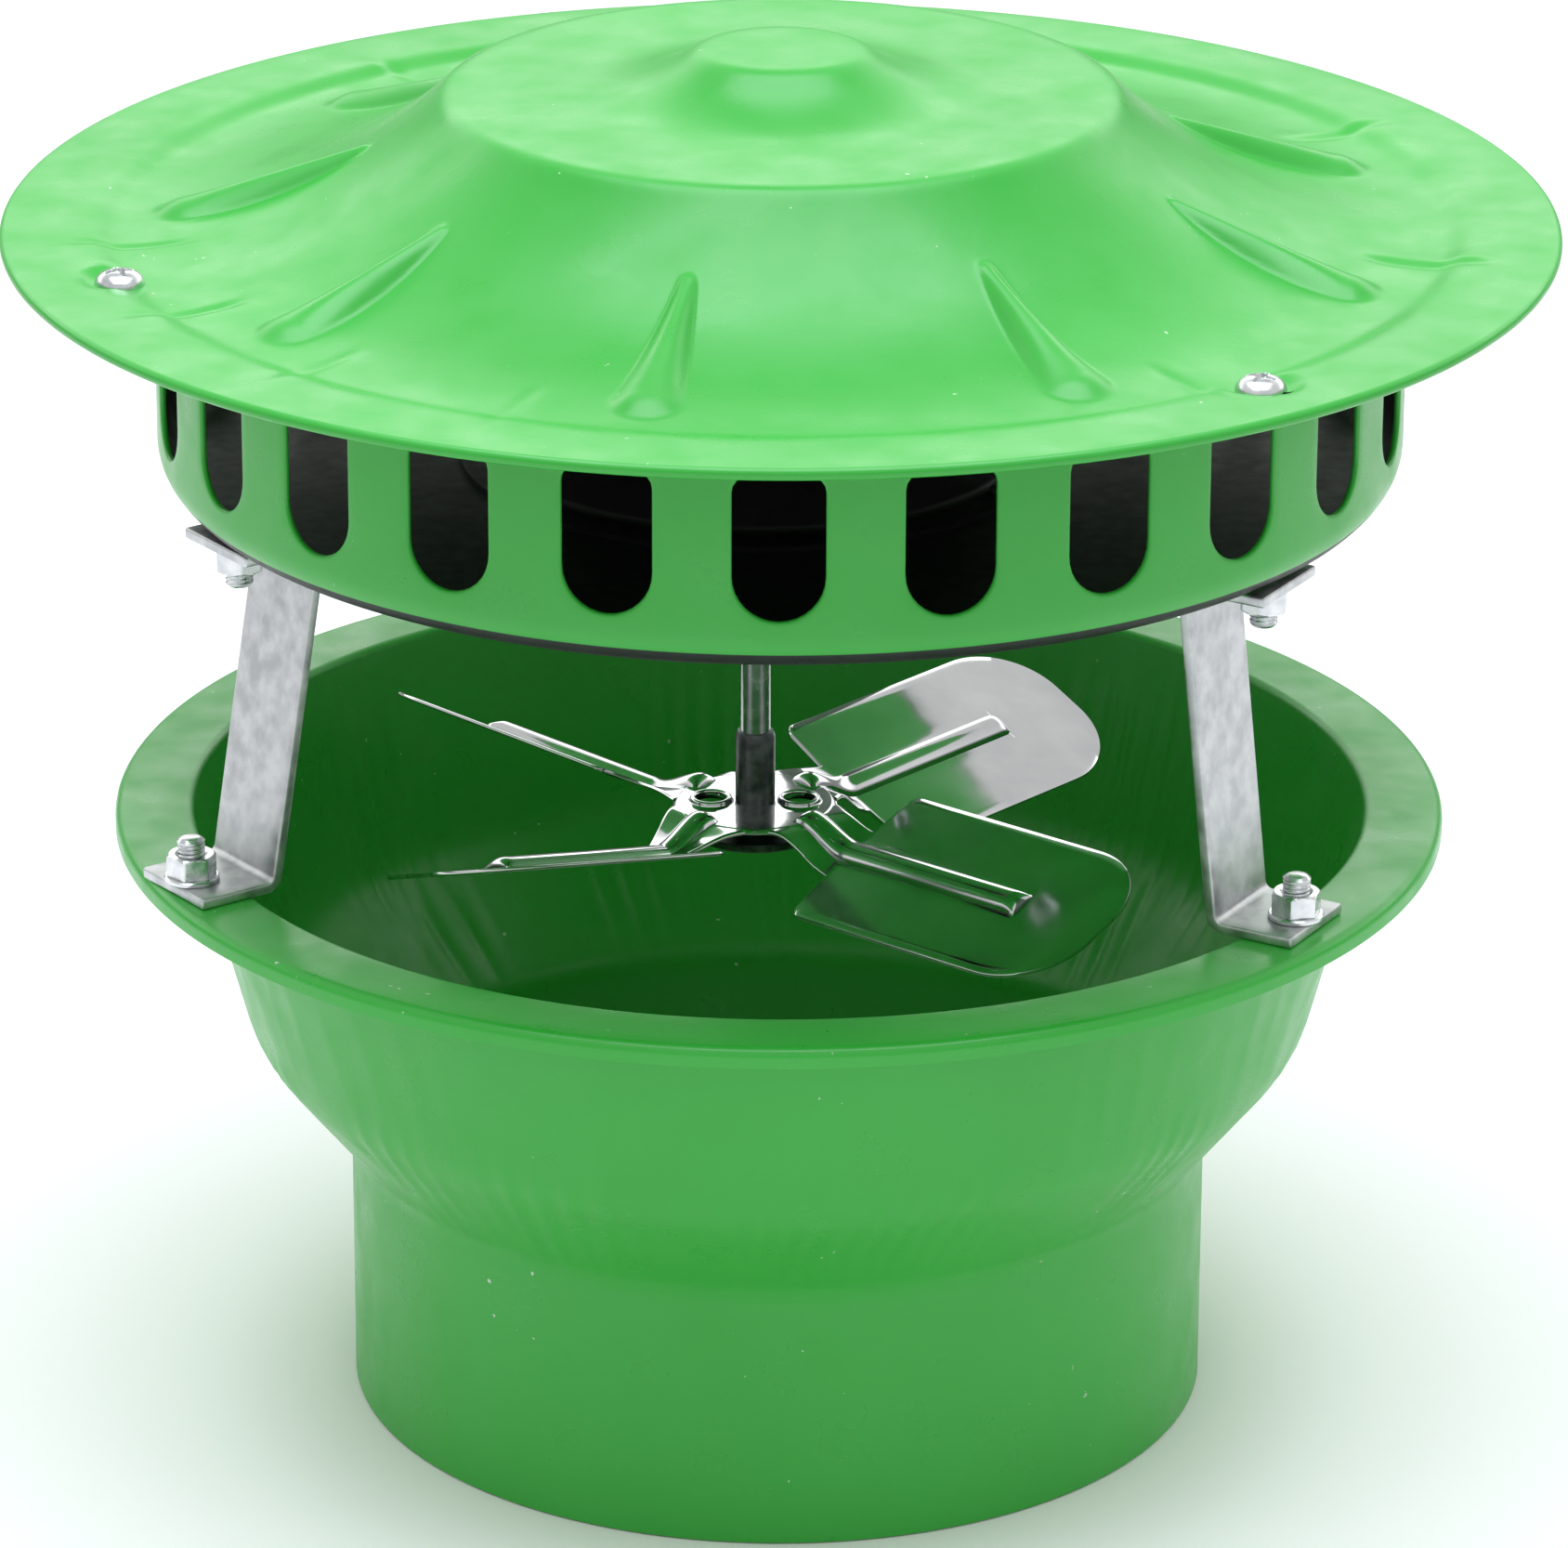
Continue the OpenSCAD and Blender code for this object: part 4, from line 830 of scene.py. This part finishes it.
# %% Turned pieces
FLANGE_TOP = 108.6
bush_outline = [
    (2.8, 105.6), (3.9, 105.6), (4.2, 105.9), (4.2, 107.1), (11.6, 107.1), (12, 107.5), (12, 108.2), (11.6, FLANGE_TOP),
    (5.5, FLANGE_TOP), (5.5, 112.2), (3.7, 112.2), (3.7, 126), (3.3, 127), (2.8, 127),
]
bush_piece = make_piece("turned_bush", [turned(bush_outline, 96, (SHAFT_X, 0))], "rotor", "bush_steel", ["hub_bush"], sharp=30)
shaft_outline = [(0, 106.2), (2.2, 106.2), (2.8, 106.8), (2.8, 228.8), (2.4, 229.2), (0, 229.2)]
make_piece("ground_shaft", [turned(shaft_outline, 64, (SHAFT_X, 0))], "rotor", "shaft_steel", ["shaft"], sharp=30)

pan_floor = PAN_Z + PAN_T
drum_corners = [(54, pan_floor + 1), (47, pan_floor + 1), (47, pan_floor + 52), (0, pan_floor + 52)]
drum_path = spread(rounded_path(drum_corners, [1.5, 5], step=15), 8)
drum_loop = np.vstack([drum_path, (drum_path + left_normals(drum_path) * 1.0)[::-1]])
drum_loop[:, 0] = np.maximum(drum_loop[:, 0], 0)
make_piece("motor_drum_drawn", [turned(drum_loop, 144, (SHAFT_X, 0))], "cowl", "drum_paint", ["motor_drum"], sharp=40)
grommet_outline = [
    (2.5, 178.6), (2.9, 178), (5.9, 178), (6.5, 178.6), (6.5, 179.5), (6, 180), (4.5, 180), (4.5, 181.2), (6, 181.2),
    (6.5, 181.7), (6.5, 182.6), (5.9, 183.2), (2.9, 183.2), (2.5, 182.6),
]
make_piece("grommet_round", [turned(grommet_outline, 64, (0, PAN_R - 31))], "cowl", "grommet_rubber", ["cable_grommet"], sharp=30)

# %% [markdown]
# Materials are built from nodes. One small function adds a node, sets its options and links or
# fills its inputs. Colours are written as they look on a screen and turned to linear light.
# Patterns read the object's own coordinates, which are metres, so a pattern of s millimetres
# has a scale of 1000 / s.

# %% Material helpers
def linear(code):
    """An sRGB hex colour as linear red, green, blue and 1."""
    c = np.array([int(code[k:k + 2], 16) for k in (1, 3, 5)]) / 255
    c = np.where(c <= 0.04045, c / 12.92, ((c + 0.055) / 1.055) ** 2.4)
    return (*c.tolist(), 1.0)


def add(tree, kind, inputs=None, **settings):
    """A node of the given kind with its settings, and its inputs linked or filled."""
    new = tree.nodes.new(kind)
    for key, value in settings.items():
        setattr(new, key, value)
    for key, value in (inputs or {}).items():
        if isinstance(value, bpy.types.NodeSocket):
            tree.links.new(value, new.inputs[key])
        else:
            new.inputs[key].default_value = value
    return new


def start(name):
    """An empty material with its shader and the object's coordinates."""
    material = bpy.data.materials.new(name)
    material.use_nodes = True
    tree = material.node_tree
    tree.nodes.clear()
    shader = add(tree, "ShaderNodeBsdfPrincipled")
    output = add(tree, "ShaderNodeOutputMaterial")
    tree.links.new(shader.outputs["BSDF"], output.inputs["Surface"])
    place = add(tree, "ShaderNodeTexCoord").outputs["Object"]
    return material, tree, shader, place


def noise(tree, place, size, detail=3.0, **inputs):
    """Noise whose blobs are about the given number of millimetres across."""
    return add(tree, "ShaderNodeTexNoise", {"Vector": place, "Scale": 1000 / size, "Detail": detail, **inputs}).outputs["Fac"]


def ranged(tree, value, low, high, to_low, to_high):
    """The value, mapped from one range to another and clamped."""
    return add(tree, "ShaderNodeMapRange", {0: value, 1: low, 2: high, 3: to_low, 4: to_high}).outputs[0]


def mixed(tree, share, a, b):
    """Colour a where the share is 0 and b where it is 1."""
    return add(tree, "ShaderNodeMix", {0: share, 6: a, 7: b}, data_type="RGBA").outputs[2]


def bumped(tree, height, strength, distance):
    """A normal that reads the height, whose full range is the given number of millimetres."""
    return add(tree, "ShaderNodeBump", {"Height": height, "Strength": strength, "Distance": distance * MM}).outputs[0]


# %% Green stoved enamel
def green_enamel():
    """Synthetic enamel, sprayed and stoved on steel: glossy with a faint orange peel."""
    material, tree, shader, place = start("green_stoved_enamel")
    tone = noise(tree, place, 60, 2)
    colour = mixed(tree, ranged(tree, tone, 0.3, 0.7, 0, 1), linear("#2EA334"), linear("#33A93A"))
    speck = add(tree, "ShaderNodeTexNoise", {"Vector": place, "Scale": 1000 / 2.2, "Detail": 4.0}).outputs["Fac"]
    rare = noise(tree, place, 34, 2)
    chips = add(tree, "ShaderNodeMath", {0: ranged(tree, speck, 0.735, 0.75, 0, 1), 1: ranged(tree, rare, 0.5, 0.6, 0, 1)}, operation="MULTIPLY").outputs[0]
    colour = mixed(tree, chips, colour, linear("#C9D8C6"))
    tree.links.new(colour, shader.inputs["Base Color"])
    haze = noise(tree, place, 12, 4)
    tree.links.new(ranged(tree, haze, 0.35, 0.7, 0.27, 0.42), shader.inputs["Roughness"])
    peel = noise(tree, place, 1.6, 2)
    waves = noise(tree, place, 22, 2)
    height = add(tree, "ShaderNodeMath", {0: peel, 1: 0.12, 2: waves}, operation="MULTIPLY_ADD").outputs[0]
    tree.links.new(bumped(tree, height, 0.5, 0.35), shader.inputs["Normal"])
    shader.inputs["IOR"].default_value = 1.5
    shader.inputs["Coat Weight"].default_value = 0.0
    return material


enamel = green_enamel()


# %% Metals
def metal(name, dark, light, grain_mm, rough_low, rough_high, wave_mm=8.0, wave_height=0.02):
    """A bare metal: its tone and roughness drift between two values over the given grain."""
    material, tree, shader, place = start(name)
    drift = noise(tree, place, grain_mm, 4)
    colour = mixed(tree, ranged(tree, drift, 0.35, 0.65, 0, 1), linear(dark), linear(light))
    tree.links.new(colour, shader.inputs["Base Color"])
    tree.links.new(ranged(tree, drift, 0.3, 0.7, rough_low, rough_high), shader.inputs["Roughness"])
    waves = noise(tree, place, wave_mm, 2)
    tree.links.new(bumped(tree, waves, 1.0, wave_height), shader.inputs["Normal"])
    shader.inputs["Metallic"].default_value = 1.0
    return material


galvanised = metal("galvanised_strip", "#B0B3B4", "#D6D8D8", 4, 0.34, 0.5, 3.0, 0.02)
zinc = metal("bright_zinc_plate", "#C3C7C9", "#E2E4E4", 2.5, 0.18, 0.34, 2.0, 0.01)
mirror = metal("mirror_stainless", "#C9CBCC", "#DADCDC", 16, 0.05, 0.13, 14.0, 0.05)
bush_steel = metal("turned_dark_steel", "#4A4D4E", "#6A6D6E", 2, 0.3, 0.45)
ground_steel = metal("ground_steel", "#A5A8AA", "#BCBFC0", 3, 0.2, 0.3)
casting = metal("aluminium_casting", "#A9ABAA", "#BFC1C0", 2, 0.45, 0.6)
bronze = metal("sintered_bronze", "#8E6B3E", "#A67E4C", 1.5, 0.4, 0.6)
lamination = metal("electrical_steel", "#5C5F61", "#74777A", 1.2, 0.4, 0.55)
copper = metal("enamelled_copper", "#8F3F17", "#B85A26", 1.0, 0.25, 0.4)


def coated(name, dark, light, rough_low, rough_high, size_mm):
    """Paint, rubber or film: no metal, a little uneven in tone and gloss."""
    material, tree, shader, place = start(name)
    drift = noise(tree, place, size_mm, 4)
    tree.links.new(mixed(tree, ranged(tree, drift, 0.35, 0.65, 0, 1), linear(dark), linear(light)), shader.inputs["Base Color"])
    tree.links.new(ranged(tree, drift, 0.3, 0.7, rough_low, rough_high), shader.inputs["Roughness"])
    tree.links.new(bumped(tree, drift, 0.6, 0.05), shader.inputs["Normal"])
    return material


black_paint = coated("black_stove_paint", "#131415", "#1B1C1D", 0.4, 0.55, 3)
rubber = coated("black_rubber", "#1A1A1B", "#242425", 0.6, 0.75, 2)
white_film = coated("white_label_film", "#F0F1EE", "#F8F8F6", 0.35, 0.5, 8)
paper = coated("white_paper", "#E9E9E4", "#F1F1EC", 0.7, 0.85, 6)

# %% Finishes by slot
finishes = {
    "bowl_paint": enamel, "pan_paint": enamel, "hat_paint": enamel, "leg_zinc": galvanised, "bolt_zinc": zinc,
    "nut_zinc": zinc, "screw_zinc": zinc, "motor_casting": casting, "bronze": bronze, "lamination": lamination,
    "copper_winding": copper, "drum_paint": black_paint, "grommet_rubber": rubber, "shaft_steel": ground_steel,
    "bush_steel": bush_steel, "impeller_bright": mirror,
}
for piece in pieces:
    piece.data.materials.clear()
    piece.data.materials.append(finishes[piece["finish"]])
for entry in frame["record"]["subparts"]:
    node = frame["nodes"][entry["node"]]
    node.data.materials.clear()
    node.data.materials.append(finishes[entry["material_slot"]])
print("finishes:", len(finishes))

# %% [markdown]
# The fan was photographed on a white sweep under large soft lamps. The light comes mostly from
# above, and the bright floor and backdrop all around give the paint its pale sheen at the rims.
# The world is a gradient over the height above the horizon, so that the shiny parts reflect a
# bright room with darker walls, and a large lamp overhead models the soft shadow.

# %% Painted shade inside the pan
pan_mesh = pan_piece.data
# The pan's inner faces get the drum's black paint as painted shade: the darkness inside the cage is shade, put into the
# colour.
pan_mesh.materials.append(black_paint)
centres = np.array([p.center for p in pan_mesh.polygons]) / MM
# Mask of the painted shade: faces on the inner side of the wall and on the floor's upper face.
dark = (np.hypot(centres[:, 0], centres[:, 1]) < PAN_R - PAN_T + 0.05) & (centres[:, 2] > PAN_Z + 0.6)
pan_mesh.polygons.foreach_set("material_index", dark.astype(np.int32))
pan_mesh.update()
print("dark faces inside the pan:", int(dark.sum()))

# %% Floor, world and lamp
floor_mesh = bpy.data.meshes.new("white_sweep")
floor_mesh.from_pydata([(-6, -4, 0), (6, -4, 0), (6, 8, 0), (-6, 8, 0)], [], [(0, 1, 2, 3)])
floor = bpy.data.objects.new("white_sweep", floor_mesh)
bpy.context.scene.collection.objects.link(floor)
floor.location.z = -0.0003
sweep, tree, shader, place = start("white_sweep_paper")
shader.inputs["Base Color"].default_value = linear("#F7F7F6")
shader.inputs["Roughness"].default_value = 0.9
shader.inputs["Specular IOR Level"].default_value = 0.1
floor_mesh.materials.append(sweep)

world = bpy.data.worlds.new("studio")
bpy.context.scene.world = world
world.use_nodes = True
tree = world.node_tree
tree.nodes.clear()
direction = add(tree, "ShaderNodeTexCoord").outputs["Generated"]
parts = add(tree, "ShaderNodeSeparateXYZ", {0: direction})


def levels(value, stops):
    """A smooth grey curve through (value, level) stops, for values from -1 to 1 and levels up to 4."""
    position = add(tree, "ShaderNodeMapRange", {0: value, 1: -1.0, 2: 1.0}).outputs[0]
    ramp = add(tree, "ShaderNodeValToRGB", {0: position})
    elements = ramp.color_ramp.elements
    elements.remove(elements[1])
    for k, (at, level) in enumerate(stops):
        element = elements[0] if k == 0 else elements.new((at + 1) / 2)
        element.position = (at + 1) / 2
        element.color = (level / 4, level / 4, level / 4, 1)
    return add(tree, "ShaderNodeMath", {0: ramp.outputs[0], 1: 4.0}, operation="MULTIPLY").outputs[0]


room = levels(parts.outputs[2], [(-1.0, 0.3), (0.0, 0.3), (0.22, 0.3), (0.34, 0.85), (0.8, 0.75), (1.0, 0.4)])
backdrop = levels(parts.outputs[2], [(0.2, 0.0), (0.28, 1.6), (0.46, 1.6), (0.6, -0.0)])
behind = levels(parts.outputs[1], [(0.1, 0.0), (0.6, 1.0)])
strength = add(tree, "ShaderNodeMath", {0: backdrop, 1: behind, 2: room}, operation="MULTIPLY_ADD").outputs[0]
background = add(tree, "ShaderNodeBackground", {1: strength})
background.inputs[0].default_value = (1, 1, 1, 1)
output = add(tree, "ShaderNodeOutputWorld")
tree.links.new(background.outputs[0], output.inputs[0])
lamp = bpy.data.objects.new("overhead_lamp", bpy.data.lights.new("overhead_lamp", "AREA"))
bpy.context.scene.collection.objects.link(lamp)
lamp.data.shape = "RECTANGLE"
lamp.data.size, lamp.data.size_y = 1.3, 1.3
lamp.data.energy = 24
lamp.data.color = (0.94, 0.97, 1.08)
lamp.location = (0.0, -0.1, 1.6)
bpy.context.scene.view_settings.view_transform = "Standard"
